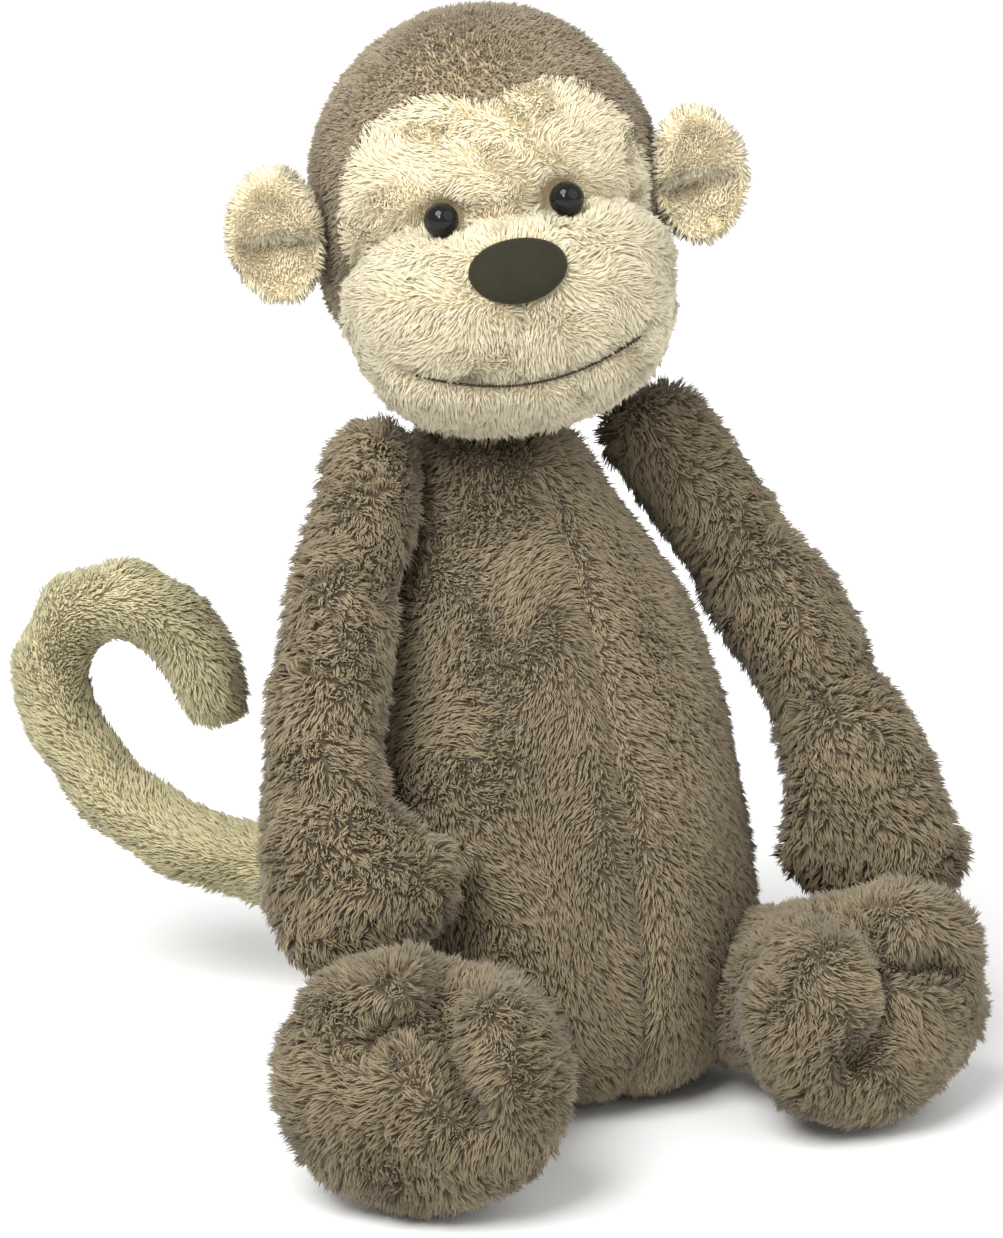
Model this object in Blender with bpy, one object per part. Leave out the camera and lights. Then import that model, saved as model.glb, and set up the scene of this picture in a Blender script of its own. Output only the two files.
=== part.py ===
"""Seated stuffed monkey: sewn plush panels over fibre stuffing, bead eyes, pellet bags in seat and feet.

Units in the tables are millimetres; the monkey faces -Y, its right side is -X, and +Z is up.
The origin is the middle of the flat base gusset, on the floor.
"""

import math

import bpy
import numpy as np
from mathutils import Matrix

MM = 0.001
CLOTH = 1.2        # plush backing and pile root, as one panel
GAP = 0.35         # between neighbouring pieces
STUFF = CLOTH + GAP
FACET = 0.9        # room for the flats of the head's cloth over its filling

# Torso: height, centre along X and Y, half width, half depth
TORSO = (
    (0.0, 0.0, -2.0, 38.5, 38.5),
    (2.5, 0.0, -2.0, 45.5, 45.5),
    (10.0, 0.0, -2.0, 54.0, 54.0),
    (22.0, 0.0, -1.0, 59.0, 59.0),
    (38.0, 0.0, 1.0, 60.5, 60.5),
    (60.0, 0.0, 4.0, 59.5, 60.0),
    (80.0, 0.5, 8.0, 56.8, 58.0),
    (100.0, 1.5, 13.0, 53.5, 54.0),
    (118.0, 2.5, 18.0, 49.0, 49.0),
    (130.0, 3.0, 21.0, 43.5, 44.5),
    (140.0, 3.5, 23.5, 37.0, 39.5),
    (148.0, 3.5, 25.5, 31.5, 35.0),
    (156.0, 3.5, 27.0, 27.5, 30.0),
    (163.0, 3.0, 27.5, 24.5, 25.5),
    (168.0, 2.5, 27.5, 18.0, 18.5),
)
SEAT_BAG = (1.6, 20.0)     # bottom and top
BODY_STUFFING_TOP = 166.0
GUSSET_RADIUS = 37.8

# Head, in its own frame: centre at the middle of the skull
HEAD_AT = (0.0, 27.0, 229.5)
HEAD_YAW = -22.0
HEAD_ROLL = -8.5
SKULL = (46.0, 44.0, 48.0)
MUZZLE_AT = (0.0, -26.0, -29.0)
MUZZLE = (42.0, 32.0, 29.0)
HAIRLINE = 68.0            # degrees from the front of the face, at the cheeks
BROW_DROP = (19.0, 1.05)   # how far the cap comes down over the brows, in degrees and in radians of width
PEAK_DROP = (9.0, 0.30)    # the same for the peak between the brows
FACE_MIDDLE = 0.04         # share of the face's width left to the fan at its middle
CAP_POLE = 176.0           # degrees, where the cap's two halves end at the back
MUZZLE_REACH = 118.0       # degrees of longitude to each side
MUZZLE_POLE = 86.0         # degrees of latitude, up and down
SMILE_GAP = 1.1            # half of the open seam of the smile
SMILE_LOW = -27.0          # degrees of latitude at the middle of the smile
SMILE_RISE = 26.0
SMILE_WIDTH = 48.0         # degrees of longitude
THREAD_REACH = 47.0        # degrees of longitude to each side
THREAD_RADIUS = 0.45
THREAD_SINK = 0.2
NECK_RADIUS = 14.0
NECK_BEVEL = 1.5
NECK = (168.6, 180.6)
NOD_ROOM = 3.2     # between the neck and the muzzle
EYE_AT = (16.0, 2.2)       # across, up
EYE_RADIUS = 4.5
EYE_SEAT = 0.5             # the bead's flat back, above the cloth
EYE_SIDE = 0.7             # its straight side, before the dome
EYE_FLATNESS = 0.86        # height of the dome over its radius
SHANK_RADIUS = 1.6
SHANK_SLACK = 0.4          # room round the shank
SHANK_END = -9.0
SHANK_CUT = (3.0, 15.0)    # start outside the cloth, and length
WASHER_RADIUS = 6.2
WASHER_THICK = 1.5
WASHER_SLACK = 0.25        # round the shank
WASHER_BEHIND = 1.2        # behind the cloth
WASHER_CUT = (6.8, 4.0)    # radius and depth of its seat in the stuffing
NOSE_LATITUDE = 38.0       # degrees up the muzzle
NOSE_SPREAD = (22.4, 17.0)  # half width and half height, in degrees of the muzzle
NOSE_SECTION = ((0.05, 2.3), (0.45, 2.2), (0.8, 1.7), (0.96, 1.2), (1.0, 0.4), (0.55, 0.4), (0.05, 0.4))
EAR_AT = (45.1, -12.0, 0.0)  # where the ear's root meets the head
EAR = (11.4, 17.0)
EAR_CLEAR = 0.2            # from the head, and from each leaf to the ear's middle
EAR_THICK = 2.9            # of one leaf, from the ear's middle
EAR_CUP = 3.2

# Arms: x, y, z, half width, half thickness, from the shoulder to the hand
ARM_LEFT = (
    (46.5, 19.0, 160.5, 15.6, 15.6),
    (57.5, 8.0, 142.0, 15.6, 15.6),
    (66.5, -6.0, 121.5, 16.2, 16.0),
    (72.0, -21.0, 101.0, 17.0, 16.4),
    (76.5, -37.5, 79.5, 19.0, 16.4),
    (82.0, -48.0, 54.5, 19.8, 15.0),
)
ARM_RIGHT = (
    (-36.5, 20.0, 162.5, 12.9, 12.9),
    (-48.0, 9.0, 145.5, 14.2, 14.2),
    (-61.0, -5.0, 124.0, 15.2, 15.2),
    (-70.8, -16.5, 98.0, 16.2, 16.0),
    (-74.6, -30.0, 77.5, 19.5, 16.0),
    (-73.4, -40.5, 62.5, 23.0, 15.5),
)
HAND_TIP = 15.0     # reach of the rounded end beyond the last row
THUMB_AT = 0.90     # share of the way along the arm
THUMB_LENGTH = 0.10  # in the same shares
THUMB_SWELL = 0.72  # share of the half width
THUMB_SPREAD = 0.5  # radians round the sleeve
HAND_TURN = 0.45    # how far the hand's edges turn fore and aft

# Legs: hip centre, foot centre, foot half width, foot half height
LEG_LEFT = ((40.0, -31.0, 24.0), (51.5, -81.0, 32.0), 39.5, 31.6)
LEG_RIGHT = ((-31.5, -33.5, 24.0), (-79.0, -84.0, 34.5), 38.5, 34.0)
HIP_RADIUS = 21.5
FOOT_DEPTH = 22.0
TOE_GROOVE = (0.15, 0.24)   # depth as a share of the section, width in radians
TOE_GROOVE_FROM = (0.75, 0.95)  # shares of the way along the leg where it starts and is full
TOE_SIDE = 18.0             # degrees from the top of the foot to the groove
STUFFING_END = 0.86         # shares of the way along the leg
FOOT_BAG_START = 0.9
RIM = math.radians(16.0)    # from the foot's widest ring to the sole's seam
SOLE_END = math.radians(84.0)
SOLE_GAP = 0.0146           # radians between the cloth and the sole
ANKLE_BEFORE = 32.0  # from the ankle's ring to the foot's middle
FOOT_RINGS = ((18.0, 0.74, 0.80), (7.0, 0.94, 0.95))  # the same way, and shares of half width and height
FLOOR_GAP = 0.4
HIP_CLEAR = 2.0
LEG_SWING = 20.0
SWING_SPARE = 1.5           # degrees beyond half of the swing

# Tail: x, y, z, radius
TAIL = (
    (-3.0, 69.8, 24.0, 10.6),
    (-22.0, 75.0, 31.0, 10.8),
    (-39.0, 86.0, 37.0, 11.0),
    (-55.0, 99.0, 43.0, 11.0),
    (-70.0, 112.0, 55.0, 11.0),
    (-80.0, 120.0, 73.0, 11.0),
    (-83.0, 121.5, 91.5, 11.2),
    (-78.0, 116.5, 106.0, 11.4),
    (-67.0, 106.0, 110.5, 11.4),
    (-57.0, 97.0, 104.0, 11.2),
    (-50.5, 92.0, 93.0, 10.8),
    (-48.5, 91.0, 84.0, 10.0),
)
TAIL_TIP = 9.5
TAIL_SIDE = (0.5, 0.9, 0.0)

BROWN = (0.170, 0.128, 0.080, 1.0)
CAP_BROWN = (0.290, 0.230, 0.150, 1.0)
CREAM = (0.640, 0.545, 0.340, 1.0)
OLIVE_CREAM = (0.390, 0.345, 0.205, 1.0)
NOSE_BROWN = (0.048, 0.045, 0.024, 1.0)
BLACK = (0.006, 0.006, 0.005, 1.0)
FIBRE = (0.850, 0.850, 0.830, 1.0)
BAG = (0.780, 0.760, 0.700, 1.0)
WASHER = (0.800, 0.800, 0.790, 1.0)
THREAD = (0.090, 0.070, 0.045, 1.0)


def clear_scene():
    for obj in list(bpy.data.objects):
        bpy.data.objects.remove(obj, do_unlink=True)


def material(name, colour, roughness):
    mat = bpy.data.materials.get(name)
    if mat is None:
        mat = bpy.data.materials.new(name)
        mat.use_nodes = True
        shader = mat.node_tree.nodes["Principled BSDF"]
        shader.inputs["Base Color"].default_value = colour
        shader.inputs["Roughness"].default_value = roughness
        shader.inputs["Metallic"].default_value = 0.0
        mat.diffuse_color = colour
    return mat


def signed_volume(points, faces):
    total = 0.0
    for face in faces:
        a = points[face[0]]
        for k in range(1, len(face) - 1):
            total += np.dot(a, np.cross(points[face[k]], points[face[k + 1]]))
    return total / 6.0


def solid(name, points, faces, look, parent=None, at=(0.0, 0.0, 0.0)):
    """A closed mesh from points in millimetres, with its faces turned outward."""
    points = np.asarray(points, float)
    if signed_volume(points, faces) < 0:
        faces = [tuple(reversed(face)) for face in faces]
    mesh = bpy.data.meshes.new(name)
    mesh.from_pydata([tuple((p - np.asarray(at)) * MM) for p in points], [], faces)
    mesh.update()
    mesh.validate()
    obj = bpy.data.objects.new(name, mesh)
    bpy.context.collection.objects.link(obj)
    if look is not None:
        mesh.materials.append(look)
    for polygon in mesh.polygons:
        polygon.use_smooth = True
    if parent is not None:
        obj.parent = parent
        obj.location = np.asarray(at) * MM - np.asarray(parent["origin_mm"]) * MM
    else:
        obj.location = np.asarray(at) * MM
    return obj


def pivot(name, at, parent=None, yaw=0.0, roll=0.0):
    """An empty on a joint's axis; at is in the parent's frame of millimetres."""
    empty = bpy.data.objects.new(name, None)
    empty.empty_display_size = 0.01
    bpy.context.collection.objects.link(empty)
    empty["origin_mm"] = list(at)
    base = np.zeros(3)
    if parent is not None:
        empty.parent = parent
        base = np.asarray(parent["origin_mm"])
    empty.location = (np.asarray(at) - base) * MM
    turn = Matrix.Rotation(math.radians(yaw), 4, "Z") @ Matrix.Rotation(math.radians(roll), 4, "Y")
    empty.rotation_euler = turn.to_euler()
    return empty


def patch_faces(rows, columns, offset=0, flip=False):
    faces = []
    for i in range(rows - 1):
        for j in range(columns - 1):
            a = offset + i * columns + j
            # every grid is split along the same diagonal, so that nested sheets keep their gap
            for face in ((a, a + 1, a + columns + 1), (a, a + columns + 1, a + columns)):
                faces.append(tuple(reversed(face)) if flip else face)
    return faces


def sheet_solid(name, outer, inner, look, parent=None, at=(0.0, 0.0, 0.0)):
    """A curved panel between an outer and an inner grid of points."""
    rows, columns = outer.shape[:2]
    count = rows * columns
    points = np.concatenate([outer.reshape(-1, 3), inner.reshape(-1, 3)])
    faces = patch_faces(rows, columns) + patch_faces(rows, columns, count, flip=True)
    rim = [j for j in range(columns)]
    rim += [i * columns + columns - 1 for i in range(1, rows)]
    rim += [(rows - 1) * columns + j for j in range(columns - 2, -1, -1)]
    rim += [i * columns for i in range(rows - 2, 0, -1)]
    for a, b in zip(rim, rim[1:] + rim[:1]):
        faces.append((b, a, a + count, b + count))
    return solid(name, points, faces, look, parent, at)


def ring_solid(name, rings, look, parent=None, at=(0.0, 0.0, 0.0)):
    """A solid through closed rings of points, with a fan at each end."""
    rings = np.asarray(rings, float)
    rows, columns = rings.shape[:2]
    points = np.concatenate([rings.reshape(-1, 3), [rings[0].mean(0)], [rings[-1].mean(0)]])
    faces = []
    for i in range(rows - 1):
        for j in range(columns):
            k = (j + 1) % columns
            a, b = i * columns + j, i * columns + k
            faces.append((a, b, b + columns))
            faces.append((a, b + columns, a + columns))
    first, last = rows * columns, rows * columns + 1
    for j in range(columns):
        k = (j + 1) % columns
        faces.append((first, k, j))
        faces.append((last, (rows - 1) * columns + j, (rows - 1) * columns + k))
    return solid(name, points, faces, look, parent, at)


def smooth_rows(table, steps):
    """Catmull-Rom curve through the rows of a table, steps points per span."""
    table = np.asarray(table, float)
    padded = np.vstack([2 * table[0] - table[1], table, 2 * table[-1] - table[-2]])
    out = []
    for i in range(1, len(padded) - 2):
        a, b, c, d = padded[i - 1:i + 3]
        for k in range(steps):
            t = k / steps
            out.append(0.5 * (2 * b + (c - a) * t + (2 * a - 5 * b + 4 * c - d) * t * t
                              + (3 * b - a - 3 * c + d) * t ** 3))
    out.append(table[-1])
    return np.array(out)


def unit(v):
    v = np.asarray(v, float)
    return v / np.linalg.norm(v, axis=-1, keepdims=True)


# ---------------------------------------------------------------- torso

def torso_profile(inset):
    """The rows of the torso's table, moved inward by inset along the surface's slope."""
    rows = np.array(TORSO)
    radius = (rows[:, 3] + rows[:, 4]) / 2
    slope = unit(np.stack([np.gradient(radius), np.gradient(rows[:, 0])], 1))
    rows[:, 0] += slope[:, 0] * inset
    rows[:, 3:] -= slope[:, 1:] * inset
    return rows


def torso_ring(row, angles):
    z, x, y, wide, deep = row
    return np.stack([x + wide * np.cos(angles), y + deep * np.sin(angles), np.full(len(angles), z)], 1)


def torso_panel(name, start, look):
    """A quarter of the torso's cloth; start is the angle, in degrees, of its first seam."""
    grids = []
    for inset in (0.0, CLOTH):
        rows = torso_profile(inset)
        grid = []
        for row in rows:
            margin = GAP / 2 / row[3]
            angles = np.linspace(math.radians(start) + margin, math.radians(start + 90) - margin, 10)
            grid.append(torso_ring(row, angles))
        grids.append(np.array(grid))
    for grid, lowest in zip(grids, (0.0, CLOTH / 2)):
        # the bottom edge lies on the floor, and the rest of the inner face stays above it
        grid[0, :, 2] = 0.0
        grid[1:, :, 2] = np.maximum(grid[1:, :, 2], lowest)
    return sheet_solid(name, grids[0], grids[1], look)


def torso_core(name, low, high, look):
    """The inside of the torso between two heights, clear of the cloth."""
    rows = torso_profile(STUFF)
    angles = np.linspace(0, 2 * math.pi, 36, endpoint=False)
    heights = [low] + [z for z in rows[:, 0] if low + 1.0 < z < high - 1.0] + [high]
    rings = []
    for z in heights:
        row = [z] + [float(np.interp(z, rows[:, 0], rows[:, k])) for k in (1, 2, 3, 4)]
        rings.append(torso_ring(row, angles))
    return ring_solid(name, rings, look)


# ---------------------------------------------------------------- limbs

class Limb:
    """A stuffed tube: smooth centre line, oval section, rounded at both ends."""

    def __init__(self, table, side, root_cap, tip_cap, steps=2, groove=None):
        rows = smooth_rows(table, steps)
        self.centre = rows[:, :3]
        self.wide = rows[:, 3]
        self.thick = rows[:, 4] if rows.shape[1] > 4 else rows[:, 3]
        self.along = unit(np.gradient(self.centre, axis=0))
        side = np.asarray(side, float)
        across = side - (self.along @ side)[:, None] * self.along
        self.across = unit(across)
        self.up = np.cross(self.along, self.across)
        self.root_cap, self.tip_cap = root_cap, tip_cap
        self.groove = groove

    def stations(self, inset, first=0.0, last=1.0):
        """(centre, across, up, half width, half thickness, share of the way) for each ring."""
        n = len(self.centre)
        out = []
        if first <= 0.0:
            for phi in np.radians((74, 50, 25)):
                reach = (self.root_cap - inset) * math.sin(phi)
                shrink = math.cos(phi)
                out.append((self.centre[0] - self.along[0] * reach, 0, shrink, -phi))
        for i in range(n):
            share = i / (n - 1)
            if first <= share <= last:
                out.append((self.centre[i], i, 1.0, 0.0))
        if last >= 1.0:
            for phi in np.radians((22, 42, 60, 77)):
                reach = (self.tip_cap - inset) * math.sin(phi)
                shrink = math.cos(phi)
                out.append((self.centre[-1] + self.along[-1] * reach, n - 1, shrink, phi))
        return out

    def grid(self, inset, angles_of, first=0.0, last=1.0):
        rows = []
        for centre, i, shrink, phi in self.stations(inset, first, last):
            wide = (self.wide[i] - inset) * shrink
            thick = (self.thick[i] - inset) * shrink
            angles = angles_of(max(min(wide, thick), 1.5))
            reach = np.ones(len(angles))
            if self.groove is not None:
                reach = self.groove(i / (len(self.centre) - 1), phi, angles)
            rows.append(centre + (reach * wide * np.cos(angles))[:, None] * self.across[i]
                        + (reach * thick * np.sin(angles))[:, None] * self.up[i])
        return np.array(rows)

    def panel(self, name, start, sweep, look, parent, first=0.0, last=1.0, columns=9):
        def angles_of(radius):
            margin = GAP / 2 / radius
            return np.linspace(math.radians(start) + margin, math.radians(start + sweep) - margin, columns)
        outer = self.grid(0.0, angles_of, first, last)
        inner = self.grid(CLOTH, angles_of, first, last)
        return sheet_solid(name, outer, inner, look, parent, at=tuple(parent["origin_mm"]))

    def core(self, name, look, parent, first=0.0, last=1.0, columns=16, inset=STUFF):
        angles = np.linspace(0, 2 * math.pi, columns, endpoint=False)
        rings = self.grid(inset, lambda radius: angles, first, last)
        return ring_solid(name, rings, look, parent, at=tuple(parent["origin_mm"]))


def build_arm(side_name, table, torso, plush, fibre):
    sign = 1.0 if table[0][0] > 0 else -1.0
    joint = pivot("arm_" + side_name + "_pivot", table[0][:3], torso)

    def thumb(share, phi, angles):
        """The thumb swells the inner edge of the hand."""
        lobe = math.exp(-((share - THUMB_AT) / THUMB_LENGTH) ** 2) * math.cos(phi) ** 2
        apart = np.angle(np.exp(1j * (angles - math.pi)))
        return 1.0 + THUMB_SWELL * lobe * np.exp(-(apart / THUMB_SPREAD) ** 2)

    limb = Limb(table, (sign, -HAND_TURN * sign, 0.0), table[0][3], HAND_TIP, groove=thumb)
    limb.panel("arm_" + side_name + "_outer_panel", -90, 180, plush, joint)
    limb.panel("arm_" + side_name + "_inner_panel", 90, 180, plush, joint)
    limb.core("arm_" + side_name + "_stuffing", fibre, joint)


def leg_table(hip, foot, wide, high):
    """Rings along a leg: hip, ankle, heel swelling and foot."""
    hip, foot = np.asarray(hip, float), np.asarray(foot, float)
    length = np.linalg.norm(foot[:2] - hip[:2])
    rings = [(length, HIP_RADIUS, HIP_RADIUS), (ANKLE_BEFORE, HIP_RADIUS + 0.8, HIP_RADIUS + 0.4)]
    rings += [(before, wide * w, high * h) for before, w, h in FOOT_RINGS]
    rings.append((0.0, wide, high))
    rows = []
    for before, half_width, half_height in rings:
        centre = hip + (foot - hip) * (length - before) / length
        centre[2] = max(centre[2], half_height + FLOOR_GAP)
        rows.append((*centre, half_width, half_height))
    return rows


def build_leg(side_name, leg, torso, plush, sole, fibre, bag):
    hip, foot, wide, high = leg
    sign = 1.0 if hip[0] > 0 else -1.0
    joint = pivot("leg_" + side_name + "_pivot", hip, torso)
    across = np.array([-(foot[1] - hip[1]), foot[0] - hip[0], 0.0])
    across = across if across[0] > 0 else -across
    notch = math.radians(90.0 + sign * TOE_SIDE)
    depth, width = TOE_GROOVE
    start, full = TOE_GROOVE_FROM

    def toe_groove(share, phi, angles):
        """A crease over the top of the foot that parts the big toe from the others."""
        here = depth * min(1.0, max(0.0, (share - start) / (full - start))) * max(0.0, math.cos(phi)) ** 0.5
        apart = np.angle(np.exp(1j * (angles - notch)))
        return 1.0 - here * np.exp(-(apart / width) ** 2)

    limb = Limb(leg_table(*leg), across, HIP_RADIUS, FOOT_DEPTH, groove=toe_groove)
    if limb.up[0][2] < 0:
        limb.up = -limb.up
    name = "leg_" + side_name
    # the cloth of the leg stops at the foot's rim, where the sole panel is sewn on
    leg_cloth(limb, name, plush, joint)
    sole_panel(limb, name + "_sole", sole, joint)
    limb.core(name + "_stuffing", fibre, joint, last=STUFFING_END)
    bag_core(limb, name + "_pellet_bag", bag, joint)


def rim_rows(limb, inset, columns, start, sweep, phis, with_tube):
    def angles_of(radius):
        margin = GAP / 2 / radius if sweep < 360 else 0.0
        return np.linspace(math.radians(start) + margin, math.radians(start + sweep) - margin, columns)
    rows = limb.grid(inset, angles_of, 0.0, 0.999) if with_tube else np.zeros((0, columns, 3))
    n = len(limb.centre) - 1
    extra = []
    for phi in phis:
        wide = (limb.wide[n] - inset) * math.cos(phi)
        thick = (limb.thick[n] - inset) * math.cos(phi)
        angles = angles_of(max(min(wide, thick), 1.5))
        reach = limb.groove(1.0, phi, angles)
        centre = limb.centre[n] + limb.along[n] * (limb.tip_cap - inset) * math.sin(phi)
        extra.append(centre + (reach * wide * np.cos(angles))[:, None] * limb.across[n]
                     + (reach * thick * np.sin(angles))[:, None] * limb.up[n])
    return np.concatenate([rows, np.array(extra)])


def leg_cloth(limb, name, look, joint):
    """The leg's two cloth halves, from the hip to the foot's rim."""
    for label, start in (("inner", 90), ("outer", -90)):
        if limb.centre[0][0] < 0:
            start = -start
        grids = [rim_rows(limb, inset, 9, start, 180, (0.0, RIM), True) for inset in (0.0, CLOTH)]
        sheet_solid(name + "_" + label + "_panel", grids[0], grids[1], look, joint,
                    at=tuple(joint["origin_mm"]))


def sole_panel(limb, name, look, joint):
    phis = np.linspace(RIM + SOLE_GAP, SOLE_END, 5)
    rings = []
    n = 32
    for inset, order in ((0.0, phis), (CLOTH, phis[::-1])):
        rows = rim_rows(limb, inset, n + 1, 0, 360, order, False)
        rings.append(rows[:, :-1])
    loops = np.concatenate(rings)
    rows, columns = loops.shape[:2]
    faces = []
    for i in range(rows):
        for j in range(columns):
            k, m = (j + 1) % columns, (i + 1) % rows
            faces.append((i * columns + j, i * columns + k, m * columns + k, m * columns + j))
    solid(name, loops.reshape(-1, 3), faces, look, joint, at=tuple(joint["origin_mm"]))


def bag_core(limb, name, look, joint):
    angles = np.linspace(0, 2 * math.pi, 16, endpoint=False)
    rings = limb.grid(STUFF + FACET, lambda radius: angles, FOOT_BAG_START, 1.0)
    ring_solid(name, rings, look, joint, at=tuple(joint["origin_mm"]))


# ---------------------------------------------------------------- head

def ball_point(radii, direction, at=(0.0, 0.0, 0.0)):
    """Where a ray from an ellipsoid's middle meets it."""
    d = np.asarray(direction, float)
    reach = 1.0 / np.sqrt(((d / np.asarray(radii)) ** 2).sum(-1, keepdims=True))
    return np.asarray(at) + d * reach


def skull_direction(polar, turn):
    """polar from the front pole, turn around it: 0 at the monkey's left, 90 degrees at the crown."""
    return np.stack([np.sin(polar) * np.cos(turn), -np.cos(polar), np.sin(polar) * np.sin(turn)], -1)


def face_edge(turn):
    """The hairline: wide at the cheeks, two lobes over the brows and a peak between them."""
    off = np.angle(np.exp(1j * (turn - math.pi / 2)))
    edge = HAIRLINE
    for drop, width in (BROW_DROP, PEAK_DROP):
        edge = edge - drop * np.exp(-(off / width) ** 2)
    return np.radians(edge)


def skull_grid(inset, start, stop, columns, edge_of, rows, margin):
    radii = np.asarray(SKULL) - inset
    turns = np.linspace(math.radians(start), math.radians(stop), columns)
    out = []
    for k in range(rows):
        line = []
        for turn in turns:
            low, high = edge_of(turn)
            polar = low + (high - low) * k / (rows - 1)
            shift = 0.0
            if margin:
                side = GAP / 2 / max(SKULL[0] * math.sin(polar), 1.5)
                middle = math.radians((start + stop) / 2)
                half = math.radians((stop - start) / 2)
                shift = -(turn - middle) / half * side
            line.append(ball_point(radii, skull_direction(np.array(polar), np.array(turn + shift))))
        out.append(line)
    return np.array(out)


def cylinder_cutter(name, start, direction, radius, length, parent):
    direction = unit(direction)
    side = unit(np.cross(direction, (0.0, 0.0, 1.0)))
    other = np.cross(direction, side)
    angles = np.linspace(0, 2 * math.pi, 16, endpoint=False)
    ring = np.cos(angles)[:, None] * side + np.sin(angles)[:, None] * other
    rings = [np.asarray(start) + ring * radius, np.asarray(start) + direction * length + ring * radius]
    return ring_solid(name, rings, None, parent)


def ball_cutter(name, centre, radii, parent=None):
    rings = []
    angles = np.linspace(0, 2 * math.pi, 28, endpoint=False)
    for polar in np.linspace(0.06, math.pi - 0.06, 14):
        ring = np.stack([np.sin(polar) * np.cos(angles), np.sin(polar) * np.sin(angles),
                         np.full(len(angles), math.cos(polar))], 1)
        rings.append(np.asarray(centre) + ring * np.asarray(radii))
    return ring_solid(name, rings, None, parent)


def cut(target, cutters):
    for cutter in cutters:
        cutter.hide_render = True
        cutter.display_type = "WIRE"
        step = target.modifiers.new("cut", "BOOLEAN")
        step.operation = "DIFFERENCE"
        step.solver = "EXACT"
        step.object = cutter


def apply_and_remove(targets, cutters):
    """Leaves the cut shapes as plain meshes and takes the cutters away."""
    bpy.context.view_layer.update()
    graph = bpy.context.evaluated_depsgraph_get()
    for target in targets:
        made = bpy.data.meshes.new_from_object(target.evaluated_get(graph), depsgraph=graph)
        target.modifiers.clear()
        target.data = made
        made.name = target.name
        for polygon in made.polygons:
            polygon.use_smooth = True
    for cutter in cutters:
        bpy.data.objects.remove(cutter, do_unlink=True)


def build_head(joint, looks):
    back = []
    for label, start in (("left", -90), ("right", 90)):
        def edge_of(turn):
            return face_edge(turn) + 1.5 * GAP / SKULL[0], math.radians(CAP_POLE)
        grids = [skull_grid(inset, start, start + 180, 17, edge_of, 10, True) for inset in (0.0, CLOTH)]
        back.append(sheet_solid("head_back_" + label + "_panel", grids[0], grids[1], looks["cap"], joint,
                                at=tuple(joint["origin_mm"])))

    angles = np.linspace(0, 2 * math.pi, 32, endpoint=False)
    loops = []
    for inset, flip in ((0.0, False), (CLOTH, True)):
        rows = []
        for share in np.linspace(FACE_MIDDLE, 1.0, 7):
            polar = face_edge(angles) * share
            rows.append(ball_point(np.asarray(SKULL) - inset, skull_direction(polar, angles)))
        rows = np.array(rows)
        loops.append(rows[::-1] if flip else rows)
    rings = np.concatenate(loops)
    face = ring_solid("face_panel", rings, looks["cream"], joint, at=tuple(joint["origin_mm"]))

    radii = np.asarray(SKULL) - STUFF - FACET
    rings = []
    for polar in np.linspace(math.radians(180.0 - CAP_POLE), math.radians(CAP_POLE), 14):
        rings.append(ball_point(radii, skull_direction(np.full(len(angles), polar), angles)))
    stuffing = ring_solid("head_stuffing", rings, looks["fibre"], joint, at=tuple(joint["origin_mm"]))

    muzzle = ball_cutter("muzzle_space", MUZZLE_AT, np.asarray(MUZZLE) + GAP + FACET, joint)
    cut(face, [muzzle])
    cut(stuffing, [muzzle])
    for panel in back:
        cut(panel, [muzzle])
    cutters = [muzzle]
    for label, sign in (("left", 1.0), ("right", -1.0)):
        spot, out = eye_place(sign)
        before, length = SHANK_CUT
        bore = SHANK_RADIUS + SHANK_SLACK
        shank = cylinder_cutter("shank_space", spot + out * before, -out, bore, length, joint)
        disc = cylinder_cutter("disc_space", spot - out * CLOTH, -out, *WASHER_CUT, joint)
        cut(face, [shank])
        cut(stuffing, [shank, disc])
        cutters += [shank, disc]
        build_eye(label, spot, out, joint, looks)
    apply_and_remove([face, stuffing] + back, cutters)
    build_muzzle(joint, looks)
    for label, sign in (("left", 1.0), ("right", -1.0)):
        build_ear(label, sign, joint, looks)


def eye_place(sign):
    """A spot on the face panel, and the way out of it."""
    x, z = sign * EYE_AT[0], EYE_AT[1]
    y = -SKULL[1] * math.sqrt(1 - (x / SKULL[0]) ** 2 - (z / SKULL[2]) ** 2)
    out = unit(np.array([x / SKULL[0] ** 2, y / SKULL[1] ** 2, z / SKULL[2] ** 2]))
    return np.array([x, y, z]), out


def turned(profile, spot, out, columns=16):
    """Rings of a turned shape: profile rows are (radius, distance outward)."""
    side = unit(np.cross(out, (0.0, 0.0, 1.0)))
    other = np.cross(out, side)
    angles = np.linspace(0, 2 * math.pi, columns, endpoint=False)
    ring = np.cos(angles)[:, None] * side + np.sin(angles)[:, None] * other
    return [spot + out * reach + ring * radius for radius, reach in profile]


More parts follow.
